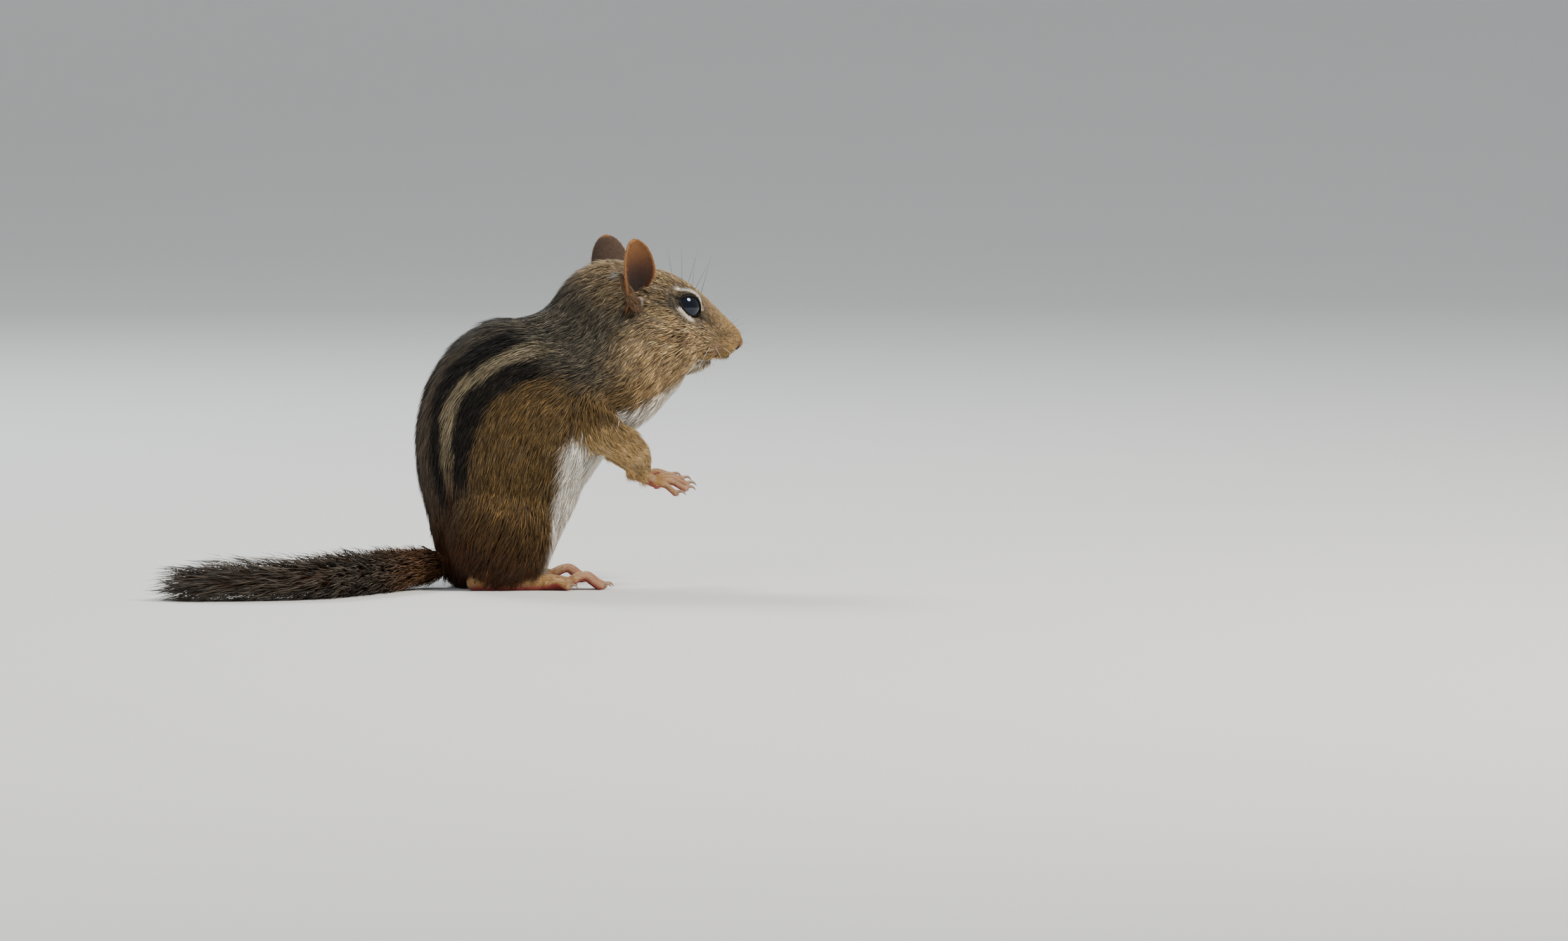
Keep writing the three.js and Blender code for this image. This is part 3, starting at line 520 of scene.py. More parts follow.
def markings(p, t, theta, parts):
    """Colour of places p, from t and theta on the trunk and from how far they belong to each part."""
    wobble = wave(p, 4.0, 3) * 1.2 + wave(p, 1.4, 4) * 0.9
    theta = theta + wobble
    color = mix(SHADES["rump"], SHADES["flank"], smooth(2.2, 4.6, t + theta * 0.012 - 0.6))
    color = mix(color, SHADES["back"], smooth(75, 40, theta) * smooth(2.5, 4.2, t) * 0.9)
    nape = smooth(6.9, 8.4, t + (70 - theta) * 0.012) * smooth(125, 85, theta)
    color = mix(color, SHADES["nape"], nape)
    color = mix(color, SHADES["cheek"], smooth(9.0, 11.5, t) * smooth(70, 100, theta) * 0.85)
    color = mix(color, SHADES["crown"], smooth(10.6, 12.2, t) * smooth(80, 50, theta))
    color = mix(color, SHADES["muzzle"], smooth(14.2, 16.0, t) * 0.9)
    color = with_stripes(color, t, theta)
    arm = smooth(0.2, 0.6, parts["arm"])
    color = mix(color, SHADES["flank"], arm * smooth(80, 110, theta))
    under = smooth(-5, 6, theta - np.interp(t, BELLY_T, BELLY_EDGE)) * (1 - arm)
    color = mix(color, mix(SHADES["belly"], SHADES["throat"], smooth(8.5, 11, t) * 0.7), under)
    color = with_face_marks(color, p, t)
    color = mix(color, SHADES["fold"], smooth(0.2, 0.6, parts["fold"]))
    color = mix(color, SHADES["lobe"], smooth(0.2, 0.6, parts["lobe"]))
    color = mix(color, SHADES["nose"], nose_zone(head_frame(p)))
    x, y, z = p.T
    sleeve = mix(color, SHADES["arm"], smooth(47, 36, z) * 0.9)
    sleeve = mix(sleeve, SHADES["belly"], smooth(9.5, 7.0, np.abs(y)) * 0.8)
    color = mix(color, sleeve, arm)
    color = mix(color, mix(SHADES["foot"], SHADES["finger"], smooth(1.2, 0.4, z)), parts["foot"])
    return mix(color, mix(SHADES["tail_root"], SHADES["tail"], smooth(-17, -38, x)), parts["tail"])


# The skin
class Form(NamedTuple):
    """A closed form that a skin wraps: the way its hair lies, and t and theta where it is the trunk."""
    name: str
    rings: np.ndarray
    lie: np.ndarray
    t: np.ndarray = None
    theta: np.ndarray = None


def along(name, rings, sign=1):
    """A form whose hair lies along it, towards its last ring, or towards its first where sign is -1."""
    return Form(name, rings, sign * np.gradient(rings, axis=0))


def combed(name, rings, way=(-0.45, 0, -1.0)):
    """A form whose hair lies one way all over it."""
    return Form(name, rings, np.broadcast_to(np.array(way, float), rings.shape))


def trunk_form():
    rings, t, theta = trunk_rings()
    return Form("trunk", rings, -np.gradient(rings, axis=0), t, theta)


def body_forms():
    """The closed forms that the body's skin wraps, left side first."""
    forms = [trunk_form()]
    for side in (1, -1):
        for at, half, pitch in MUZZLE:
            pad = turned(ball_rings(sided(at, side), half, pitch))
            forms.append(combed("muzzle", pad, (-1.0, 0, -0.25)))
        forms.append(along("fold", turned(tube_rings(sided(EAR_FOLD, side), rows=30, columns=20))))
        forms.append(combed("lobe", turned(ball_rings(sided(EAR_LOBE[0], side), EAR_LOBE[1]))))
        for at, half in HAUNCH:
            ball = ball_rings(sided(at, side), np.array(half) - HAUNCH_COAT, rows=36, columns=48)
            forms.append(combed("haunch", ball))
        forms.append(along("arm", tube_rings(sided(ARM, side), rows=60, shrink=0.7)))
        forms.append(along("foot", tube_rings(sided(SOLE, side), rows=50, shrink=0.25)))
    core = np.column_stack([TAIL[:, :3], TAIL[:, 4], TAIL[:, 4] * 0.9])
    forms.append(along("tail", tube_rings(core, rows=120)))
    forms.append(along("jaw", turned(tube_rings(JAW)), -1))
    return forms


def remeshed(obj, size):
    """obj with its overlapping bodies wrapped in one closed surface of quads, size millimetres each."""
    wrap = obj.modifiers.new("wrap", "REMESH")
    wrap.mode = "VOXEL"
    wrap.voxel_size = size * MM
    wrap.use_smooth_shade = True
    shell = bpy.data.meshes.new_from_object(obj.evaluated_get(bpy.context.evaluated_depsgraph_get()))
    obj.modifiers.clear()
    materials = list(obj.data.materials)
    obj.data = shell
    shell.materials.clear()
    for material in materials:
        shell.materials.append(material)
    return obj


def read(items, key, width, kind=float):
    """One value of every item of a mesh's collection, as rows of width numbers."""
    values = np.empty(len(items) * width, kind)
    items.foreach_get(key, values)
    return values.reshape(-1, width)


def averaged(values, quads, rounds, keep=0.5):
    """values at each point, blended rounds times with the mean of its neighbours."""
    a = np.concatenate([quads[:, 0], quads[:, 1], quads[:, 2], quads[:, 3]])
    b = np.concatenate([quads[:, 1], quads[:, 2], quads[:, 3], quads[:, 0]])
    size = len(values)
    count = np.bincount(a, minlength=size) + np.bincount(b, minlength=size)
    flat = values.reshape(size, -1).copy()
    for _ in range(rounds):
        sums = [np.bincount(a, column[b], size) + np.bincount(b, column[a], size) for column in flat.T]
        flat = keep * flat + (1 - keep) * np.stack(sums, -1) / count[:, None]
    return flat.reshape(values.shape)


def point_normals(points, quads):
    """The normal at each point: the sum of its quads' normals by area, as a unit."""
    a, b, c, d = (points[quads[:, k]] for k in range(4))
    face = np.cross(c - a, d - b)
    sums = [sum(np.bincount(quads[:, k], column, len(points)) for k in range(4)) for column in face.T]
    return unit(np.stack(sums, -1))


def within(way, normal):
    """The part of way that lies in the surface with this normal."""
    return way - normal * np.sum(way * normal, axis=1)[:, None]


def with_lids(p):
    """Skin points moved along each eye's own axis, so that it lies in a pit with swollen lids round it:
    inside the lids' line on a ball sunk by the pit, outside on one bigger than the eye by the swell."""
    for side in (1, -1):
        centre, _, _, out = eye_frame(side)
        a, b, d, rho = eye_places(p, side)
        flat = a * a + b * b
        pit = np.sqrt(np.maximum(EYE["radius"] ** 2 - flat, 0.04)) - LID["pit"]
        lid = np.sqrt(np.maximum((EYE["radius"] + LID["swell"]) ** 2 - flat, 0.04))
        swollen = d + np.maximum(lid - d, -0.6) * (1 - smooth(1.05, 1.75, rho))
        pit = np.minimum(pit, d)
        depth = pit + (swollen - pit) * smooth(0.96, 1.14, rho)
        near = (d > -2) & (rho < 1.8)
        p = p + out * np.where(near, depth - d, 0)[:, None]
        r = p - centre
        far = np.linalg.norm(r, axis=1)
        clear = EYE["radius"] + LID["clear"]
        inside = (far < clear) & ((rho > 1.14) | (r @ out < 0))
        p = centre + r * np.where(inside, clear / far, 1)[:, None]
    return p


def thinned(rings):
    """Every second place of every second ring."""
    return rings[::2, ::2].reshape(-1, 3)


class Skin:
    """A closed skin of quads, with what its coat needs at every point."""

    def __init__(self, obj, forms, rounds):
        """Evens the remeshed object rounds times, and draws it smooth where haunch and arm join."""
        self.obj = obj
        self.quads = read(obj.data.loops, "vertex_index", 1, int).reshape(-1, 4)
        p = averaged(read(obj.data.vertices, "co", 3) / MM - OFFSET, self.quads, rounds)
        self.places = p
        self.label(forms)
        high = smooth(40, 46, p[:, 2]) * self.parts["arm"]
        joined = averaged(self.parts["haunch"] + high, self.quads, 45)
        share = np.clip(4 * joined * (1 - joined), 0, 1)[:, None]
        if share.max() > 0.1:
            self.places = blend(p, averaged(p, self.quads, 120), share)

    def label(self, forms):
        """Part shares, place on the trunk and the lie of the hair, from the nearest point of the forms."""
        samples = [thinned(form.rings) for form in forms]
        nearest = self.nearest(np.vstack(samples))
        names = np.repeat([form.name for form in forms], [len(places) for places in samples])
        ways = np.vstack([thinned(form.lie) for form in forms])
        self.lie = averaged(unit(ways[nearest]), self.quads, 14)
        own = names[nearest]
        self.parts = {name: averaged((own == name).astype(float), self.quads, 5) for name in PARTS}
        trunk = next(form for form in forms if form.name == "trunk")
        nearest = self.nearest(trunk.rings.reshape(-1, 3))
        self.t = averaged(trunk.t.reshape(-1)[nearest], self.quads, 3)
        self.theta = averaged(trunk.theta.reshape(-1)[nearest], self.quads, 3)

    def nearest(self, samples):
        """The number of the sample nearest to each point."""
        tree = KDTree(len(samples))
        for i, sample in enumerate(samples.tolist()):
            tree.insert(sample, i)
        tree.balance()
        return np.array([tree.find(p)[1] for p in self.places.tolist()])

    def settle(self):
        """Flattens the places where they reach the ground, writes them back and finds their normals."""
        ground = -OFFSET[2] + 0.02
        self.places[:, 2] = np.maximum(self.places[:, 2], ground)
        self.normals = point_normals(self.places, self.quads)
        self.lie = unit(within(self.lie, self.normals))
        mesh = self.obj.data
        mesh.vertices.foreach_set("co", place(self.places).reshape(-1))
        mesh.update()


def paint(mesh, colors):
    layer = mesh.color_attributes.new("coat", "FLOAT_COLOR", "POINT")
    solid = np.column_stack([colors, np.ones(len(colors))])
    layer.data.foreach_set("color", solid.astype(np.float32).reshape(-1))


def unwrap(obj, margin=0.002):
    """A map named OFBake from the skin's own shape; returns its place for every corner."""
    obj.data.uv_layers.new(name="OFBake")
    bpy.ops.object.select_all(action="DESELECT")
    bpy.context.view_layer.objects.active = obj
    obj.select_set(True)
    bpy.ops.object.mode_set(mode="EDIT")
    bpy.ops.mesh.select_all(action="SELECT")
    bpy.ops.uv.smart_project(angle_limit=math.radians(75), island_margin=margin)
    bpy.ops.object.mode_set(mode="OBJECT")
    return read(obj.data.uv_layers["OFBake"].data, "uv", 2)


# The coat
PIECE_TRIANGLES = 195000
# The size of a blade's patch on the map, its bend, the depth of its root, and its thickness by half its width
TUFT = {"patch": 0.003, "bend": 0.55, "sunk": 0.15, "thick": 0.7}
# A blade's triangles, by its seven or four points from root to tip, and where the points are on its patch
BENT = {"faces": [[0, 2, 1], [0, 1, 4], [0, 4, 3], [1, 2, 5], [1, 5, 4], [2, 0, 3], [2, 3, 5], [3, 4, 6],
                  [4, 5, 6], [5, 3, 6]],
        "patch": [[-1, -1], [1, -1], [0, -0.7], [-1, 0.2], [1, 0.2], [0, 0.4], [0, 1]]}
STRAIGHT = {"faces": [[0, 2, 1], [0, 1, 3], [1, 2, 3], [2, 0, 3]],
            "patch": [[-1, -1], [1, -1], [0, -0.6], [0, 1]]}


def tuft_mesh(name, tufts, bent=True):
    """Tufts as closed, tapered, three-sided blades that rise at lift and bend back along the body.
    A blade's middle line is root + lie L s cos a + n L (s - bend s^2) sin a, for s in 0..1, with lift a."""
    form = BENT if bent else STRAIGHT
    roots, normal, lie = tufts["place"], tufts["normal"], tufts["lie"]
    length, lift, width = tufts["length"], tufts["lift"], tufts["width"]
    side = np.cross(lie, normal)

    def station(s, share):
        rise = length * np.sin(lift) * (s - TUFT["bend"] * s * s) - TUFT["sunk"] * (s == 0)
        centre = roots + lie * (length * s * np.cos(lift))[:, None] + normal * rise[:, None]
        w = (width / 2 * share)[:, None]
        return np.stack([centre - side * w, centre + side * w, centre + normal * w * TUFT["thick"]], 1)

    stations = [station(0, 0.8), station(0.5, 1.0)] if bent else [station(0, 1.0)]
    points = np.concatenate([*stations, station(1, 0.02)[:, 2:]], 1)
    points[..., 2] = np.maximum(points[..., 2], -OFFSET[2] + 0.05)
    faces, stride = np.array(form["faces"]), points.shape[1]
    corners = (faces[None] + stride * np.arange(len(roots))[:, None, None]).reshape(-1)
    count = len(roots) * len(faces)
    mesh = bpy.data.meshes.new(name)
    mesh.vertices.add(len(roots) * stride)
    mesh.vertices.foreach_set("co", place(points).reshape(-1))
    mesh.loops.add(count * 3)
    mesh.loops.foreach_set("vertex_index", corners)
    mesh.polygons.add(count)
    mesh.polygons.foreach_set("loop_start", np.arange(count) * 3)
    mesh.polygons.foreach_set("use_smooth", np.ones(count, bool))
    mesh.update(calc_edges=True)
    shades = [tufts["root"]] * 3 + ([tufts["color"]] * 3 if bent else []) + [tufts["tip"]]
    paint(mesh, np.stack(shades, 1).reshape(-1, 3))
    spots = (tufts["uv"][:, None] + np.array(form["patch"])[None] * TUFT["patch"] / 2).reshape(-1, 2)
    layer = mesh.uv_layers.new(name="OFBake")
    layer.data.foreach_set("uv", spots[corners].reshape(-1))
    mesh_piece(name, mesh, coat_material)


def sown(skin, uv, count, weight):
    """Roots spread over the skin in proportion to area times weight, with all that is known there."""
    a, b, c, d = (skin.places[skin.quads[:, k]] for k in range(4))
    area = np.linalg.norm(np.cross(c - a, d - b), axis=1) / 2
    chance = area * weight[skin.quads].mean(axis=1)
    face = rng.choice(len(skin.quads), count, p=chance / chance.sum())
    s, r = rng.random((2, count))
    shares = np.stack([(1 - s) * (1 - r), s * (1 - r), s * r, (1 - s) * r], -1)
    corners = skin.quads[face]

    def at(values):
        return np.einsum("nk,nk...->n...", shares, values[corners])

    names = ("length", "width", "lift", "color", "under", "grizzle", "contrast", "clump")
    found = {name: at(getattr(skin, name)) for name in names}
    found |= {"place": at(skin.places), "normal": unit(at(skin.normals)), "lie": unit(at(skin.lie))}
    return found | {"uv": np.einsum("nk,nkc->nc", shares, uv.reshape(-1, 4, 2)[face])}


def shaded(d, count):
    """Colours along each tuft: dark at its root, and pale, dark or plain at its tip, as banded hair is."""
    bright = np.exp((rng.normal(0, 1, count) + 0.6 * wave(d["place"], 0.8, 24)) * d["contrast"])
    bright = np.where(rng.random(count) < d["contrast"] * 0.35, bright * 0.4, bright)
    color = np.clip(d["color"] * bright[:, None], 0, 0.92)
    grey = d["color"].mean(axis=1, keepdims=True)
    pale = np.clip(d["color"] * 1.1 + grey * 0.9 + np.array([0.05, 0.042, 0.028]), 0, 0.9)
    draw = rng.random(count)
    plain = np.where((draw > 1 - 0.6 * d["contrast"])[:, None], color * 0.35, color * 1.1)
    tip = np.where((draw < d["grizzle"])[:, None], pale, plain)
    return {"root": d["under"], "color": color, "tip": tip}


def coat(name, skin, uv, short=2.4):
    """The coat of one skin, in as many pieces as its size needs; hair shorter than short is straight."""
    count = TUFTS[name]
    d = sown(skin, uv, count, skin.cover / np.maximum(skin.length * skin.width, 1e-3))
    clumps = (wave(d["place"], 3.2, 21) + wave(d["place"], 0.9, 22)) * d["clump"]
    swirl = clumps + rng.normal(0, 0.10, count)
    lie = unit(d["lie"] + np.cross(d["lie"], d["normal"]) * swirl[:, None])
    d["lie"] = unit(within(lie, d["normal"]))
    d["length"] = d["length"] * rng.uniform(0.65, 1.25, count)
    ruffle = (1 + 0.25 * wave(d["place"], 1.1, 23)) * rng.uniform(0.6, 1.45, count)
    d["lift"] = np.clip(d["lift"] * ruffle, 0.03, 1.2)
    d["width"] = d["width"] * rng.uniform(0.7, 1.3, count)
    d |= shaded(d, count)
    long = d["length"] > short
    for word, which, form in (("coat", long, BENT), ("nap", ~long, STRAIGHT)):
        chosen = np.flatnonzero(which)
        chosen = chosen[np.argsort(d["uv"][chosen, 0] + rng.random(len(chosen)) * 0.02)]
        pieces = math.ceil(len(chosen) * len(form["faces"]) / PIECE_TRIANGLES)
        for k, pick in enumerate(np.array_split(chosen, pieces) if pieces else []):
            tufts = {key: values[pick] for key, values in d.items()}
            tuft_mesh(f"{name}_{word}_{k + 1}", tufts, form is BENT)


# Materials
def grained(name, scale, detail, roughness, specular, bump_mm, bump_strength=0.6):
    """A material with a fine bump of noise on Object coordinates, and what a colour is made with: its node
    tree, the noise and the shader."""
    material = bpy.data.materials.new(name)
    material.use_nodes = True
    nodes, links = material.node_tree.nodes, material.node_tree.links
    shader = nodes["Principled BSDF"]
    shader.inputs["Roughness"].default_value = roughness
    shader.inputs["Specular IOR Level"].default_value = specular
    space = nodes.new("ShaderNodeTexCoord")
    grain = nodes.new("ShaderNodeTexNoise")
    grain.inputs["Scale"].default_value = scale
    grain.inputs["Detail"].default_value = detail
    links.new(space.outputs["Object"], grain.inputs["Vector"])
    bump = nodes.new("ShaderNodeBump")
    bump.inputs["Distance"].default_value = bump_mm * MM
    bump.inputs["Strength"].default_value = bump_strength
    links.new(grain.outputs["Fac"], bump.inputs["Height"])
    links.new(bump.outputs["Normal"], shader.inputs["Normal"])
    return material, nodes, links, grain, shader


def fur_material(name, roughness):
    """The painted coat colour, with a fine random change from place to place."""
    material, nodes, links, grain, shader = grained(name, 900, 3, roughness, 0.3, 0.2, 0.25)
    painted = nodes.new("ShaderNodeAttribute")
    painted.attribute_name = "coat"
    span = nodes.new("ShaderNodeMapRange")
    span.inputs["To Min"].default_value = 0.82
    span.inputs["To Max"].default_value = 1.18
    links.new(grain.outputs["Fac"], span.inputs["Value"])
    tint = nodes.new("ShaderNodeVectorMath")
    tint.operation = "SCALE"
    links.new(painted.outputs["Color"], tint.inputs[0])
    links.new(span.outputs["Result"], tint.inputs["Scale"])
    links.new(tint.outputs["Vector"], shader.inputs["Base Color"])
    return material


def plain_material(name, color, roughness, scale, spread, bump_mm, specular=0.5):
    """A colour broken by noise, with a bump of the same grain."""
    material, nodes, links, grain, shader = grained(name, scale, 4, roughness, specular, bump_mm)
    ramp = nodes.new("ShaderNodeValToRGB")
    base = linear(color)
    for end, sign in zip(ramp.color_ramp.elements, (-1, 1)):
        end.color = (*np.clip(base * (1 + sign * spread * 2), 0, 1), 1)
    links.new(grain.outputs["Fac"], ramp.inputs["Fac"])
    links.new(ramp.outputs["Color"], shader.inputs["Base Color"])
    return material


skin_material = fur_material("skin_under_coat", 0.8)
coat_material = fur_material("coat_hair", 0.62)
eye_material = plain_material("eye_glossy", 0x050404, 0.05, 300, 0.2, 0.0, specular=0.55)
eye_material.node_tree.nodes["Principled BSDF"].inputs["Specular Tint"].default_value = (0.62, 0.78, 1, 1)
lid_material = plain_material("lid_skin", 0x120B09, 0.6, 900, 0.15, 0.03, specular=0.15)
nose_material = plain_material("nose_leather", 0x7C5637, 0.55, 1600, 0.14, 0.05, specular=0.3)
claw_material = plain_material("claw_horn", 0x8A6F57, 0.4, 500, 0.12, 0.02)
whisker_material = plain_material("whisker_black", 0x15110F, 0.4, 500, 0.1, 0.0)
pale_whisker_material = plain_material("whisker_pale", 0xD9D2C4, 0.4, 500, 0.1, 0.0)


# The body
TRUNK_HAIR_T = [0, 2, 7, 9, 11, 12.2, 13.6, 15, 16.4, 18]
TRUNK_HAIR = [5.5, 6.5, 6.8, 6.0, 5.2, 4.0, 3.0, 2.0, 1.2, 0.7]


def comb_body(skin, q, groove):
    """Sets the hair's length, width, lift, cover and lie, by the part of the body it is on."""
    p, t, theta, parts = skin.places, skin.t, skin.theta, skin.parts
    cheek = smooth(10.5, 12, t) * smooth(14.5, 13, t) * smooth(80, 110, theta)
    chest = between(t, 7.0, 11.0, 1.0) * smooth(105, 130, theta)
    length = np.interp(t, TRUNK_HAIR_T, TRUNK_HAIR) + cheek * 1.2 + chest * 1.6
    arm = np.interp(p[:, 2], [28, 34, 42, 50], [1.3, 2.4, 3.8, 5.0])
    for part, own in (("arm", arm), ("foot", 1.3), ("fold", 1.5), ("lobe", 0.8), ("muzzle", 1.1)):
        length = blend(length, own, parts[part])
    tail = np.interp(p[:, 0], [-90, -70, -30, -14], [12.5, 13.0, 10.5, 7.0])
    lips = smooth(60.6, 58.6, q[:, 2]) * smooth(50.5, 53.5, q[:, 0]) * (1 - groove)
    lips = lips * smooth(1.0, 2.5, q[:, 1])
    falling = parts["arm"] * smooth(37, 44, p[:, 2])
    skin.lie = unit(skin.lie + np.outer(lips, [0.3, 0, -1.2]) + np.outer(falling, [0.1, 0, -2.0]))
    skin.length = blend(length + lips * 0.9, tail, parts["tail"])
    skin.width = np.interp(skin.length, [0.7, 1.5, 3, 6, 12], [0.09, 0.115, 0.16, 0.20, 0.24])
    skin.lift = blend(np.interp(skin.length, [0.7, 2, 6], [0.18, 0.28, 0.29]), 0.66, parts["tail"])
    skin.cover = np.interp(skin.length, [0.7, 2, 6], [4.6, 6.6, 7.0]) + parts["tail"] * 3


def grizzle_body(skin):
    """Sets how tufts differ from one another: pale tips, contrast, clumps and the shade at their roots."""
    t, theta, tail = skin.t, skin.theta, skin.parts["tail"]
    tone = skin.color.mean(axis=1)
    pale, black = smooth(0.25, 0.55, tone), smooth(0.03, 0.012, tone)
    grey = smooth(6.5, 8.0, t) * smooth(125, 95, theta) * (1 - skin.parts["arm"])
    face, snout = smooth(10.5, 12.5, t), smooth(14.0, 15.6, t)
    rump = 0.16 * smooth(5.0, 3.2, t) * (1 - tail)
    striped = between(t, 3.0, 8.6, 0.5) * smooth(92, 78, theta)
    tips = 0.3 + 0.18 * grey + 0.1 * face + 0.1 * tail - 0.3 * black - 0.2 * snout - rump
    skin.grizzle = np.clip(tips, 0, 1) * (1 - 0.7 * striped * smooth(0.05, 0.03, tone))
    skin.contrast = (0.28 + 0.16 * grey + 0.16 * face + 0.14 * snout + 0.1 * tail) * (1 - 0.75 * pale)
    skin.clump = np.interp(skin.length, [1, 4], [0.16, 0.22]) * (1 - 0.6 * striped)
    skin.under = mix(skin.color * (0.22 + 0.6 * pale)[:, None], SHADES["tail_root"] * 0.8, tail)


def clear_body(skin, q):
    """Shortens the hair towards each eye, and leaves eyes, nose and what stands on the ground bare."""
    bare = (nose_zone(q) > 0.5) | (skin.places[:, 2] < -OFFSET[2] + 0.25)
    for side in (1, -1):
        _, _, out, rho = eye_places(skin.places, side)
        bare |= (rho < 1.07) & (out > 0)
        close = (rho < 2.2) & (out > 0)
        skin.length = np.where(close, np.minimum(skin.length, 0.45 + (rho - 1) * 1.3), skin.length)
    skin.cover = np.where(bare, 0, skin.cover)


def build_body():
    """The body's skin, with pits for the eyes and the line of the mouth sunk along the skin's normals, and
    painted dark along that line as painted shade.
    """
    forms = body_forms()
    obj = mesh_object("body_skin", [closed_grid(form.rings) for form in forms], skin_material)
    skin = Skin(remeshed(obj, STEP["body"]), forms, rounds=6)
    skin.places = with_lids(skin.places)
    groove = mouth_groove(head_frame(skin.places)) * smooth(12.5, 13.2, skin.t)
    sunk = groove * MOUTH["depth"]
    skin.places = skin.places - point_normals(skin.places, skin.quads) * sunk[:, None]
    skin.settle()
    q = head_frame(skin.places)
    color = markings(skin.places, skin.t, skin.theta, skin.parts)
    # Painted shade: the mouth's groove is painted dark, as the crease of the lips lies in shade
    skin.color = mix(color, SHADES["dark"], groove * 0.7)
    comb_body(skin, q, groove)
    grizzle_body(skin)
    clear_body(skin, q)
    paint(obj.data, skin.under * 1.15)
    return skin


body = build_body()
body_map = unwrap(body.obj)
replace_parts(body.obj, "torso", "neck", "head", "left_haunch", "right_haunch", "left_upper_arm",
            "right_upper_arm", "left_forearm", "right_forearm", "tail_base", "tail_middle", "tail_tip")
coat("body", body, body_map)


# The paws
def palm_rings(side):
    """The palm and its pads, each an ellipsoid, and the wrist, a tube."""
    yield ball_rings(sided(PALM["at"], side), PALM["half"], PALM["pitch"])
    yield tube_rings(sided(ARM[-3:], side), rows=20, columns=24, shrink=0.95)
    for dx, dy, dz in PALM["pads"]:
        yield ball_rings(sided(PALM["at"], side) + [dx, dy * side, dz], PALM["pad"], rows=12, columns=16)


def sole_rings(side):
    yield tube_rings(sided(SOLE, side), rows=50, columns=32, shrink=0.2)


def build_paws(name, nodes, digits, base_rings):
    """Both paws of one pair, with toes, pads and claws."""
    forms, claws = [], []
    for side in (1, -1):
        forms += [combed("paw", rings, (1.0, 0, -0.3)) for rings in base_rings(side)]
        for digit in digits:
            forms.append(along("paw", tube_rings(digit_stops(digit, side), rows=16, columns=16)))
            claws.append(closed_grid(claw_rings(digit, side)))
    obj = mesh_object(name + "_skin", [closed_grid(form.rings) for form in forms], skin_material)
    skin = Skin(remeshed(obj, STEP["paws"]), [*forms, trunk_form()], rounds=3)
    skin.settle()
    x = skin.places[:, 0]
    under = smooth(-0.1, -0.7, skin.normals[:, 2])
    bare = smooth(digits[0]["from"][0], digits[1]["to"][0], x)
    wrist = smooth(37.0, 34.2, x) if name == "forepaws" else np.zeros(len(x))
    top = mix(mix(SHADES["foot"], SHADES["finger"], bare * 0.8), SHADES["arm"], wrist)
    color = mix(top, SHADES["palm"], np.clip(under * 1.1, 0, 1) * (1 - wrist))
    color = color * (1 + wave(skin.places, 1.2, 31) * 0.1)[:, None]
    paint(obj.data, color * 0.85)
    skin.color = mix(color, SHADES["paw_hair"], 0.55 * (1 - wrist) * (1 - under))
    skin.under = skin.color * 0.9
    skin.length = 0.9 + 0.35 * (1 - bare) + 1.2 * wrist
    skin.lift = 0.15 + 0.1 * wrist
    skin.cover = np.where(under * (1 - wrist) > 0.5, 0, 1.0 + wrist)
    for key, value in (("width", 0.085), ("grizzle", 0.4), ("contrast", 0.12), ("clump", 0.14)):
        setattr(skin, key, np.full(len(x), value))
    paw_map = unwrap(obj)
    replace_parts(obj, *nodes)
    coat(name, skin, paw_map)
    mesh_object(name + "_claws", claws, claw_material)


build_paws("forepaws", ["left_forepaw", "right_forepaw"], FINGERS, palm_rings)
build_paws("hind_feet", ["left_hind_foot", "right_hind_foot"], TOES, sole_rings)


# The ears
def build_ears():
    """Both ears, a thin cup each, with a fine nap on both faces."""
    parts, rows = [], []
    for side in (1, -1):
        rings, u, v, inner = ear_surface(side)
        parts.append(closed_grid(rings))
        way = np.gradient(rings, axis=0)
        facts = np.dstack([inner, v, np.abs(u), way]).reshape(-1, 6)
        ends = [[0.5, v.min(), 0.5, *way[0].mean(axis=0)], [0.5, v.max(), 0.5, *way[-1].mean(axis=0)]]
        rows += [facts, ends]
    facts = np.vstack(rows)
    (inside, height, edge), lie = facts[:, :3].T, facts[:, 3:]
    obj = mesh_object("ears_skin", parts, skin_material)
    color = mix(SHADES["ear_back"], SHADES["ear_in"], inside)
    # Painted shade: the cup's inside is darker low down and away from its edges, where the hollow lies in
    # shade
    deep = inside * (1 - smooth(0.25, 0.75, height)) * (1 - smooth(0.3, 0.95, edge))
    color = mix(color, SHADES["ear_in"] * 0.3, deep)
    # Lighter towards the top of the cup's inside: partly the ear's own orange-brown, partly painted light
    # where the top of the cup catches the light
    color = mix(color, SHADES["ear_rim"], inside * smooth(0.45, 1.0, height) * 0.3)
    rim = np.maximum(smooth(0.9, 0.99, edge), smooth(0.95, 0.995, height))
    color = mix(color, SHADES["ear_rim"], rim * 0.7)
    paint(obj.data, color)
    ear_map = unwrap(obj, margin=0.01)
    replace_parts(obj, "left_ear", "right_ear")
    sow_ears(obj.data, ear_map, color, height, edge, lie)


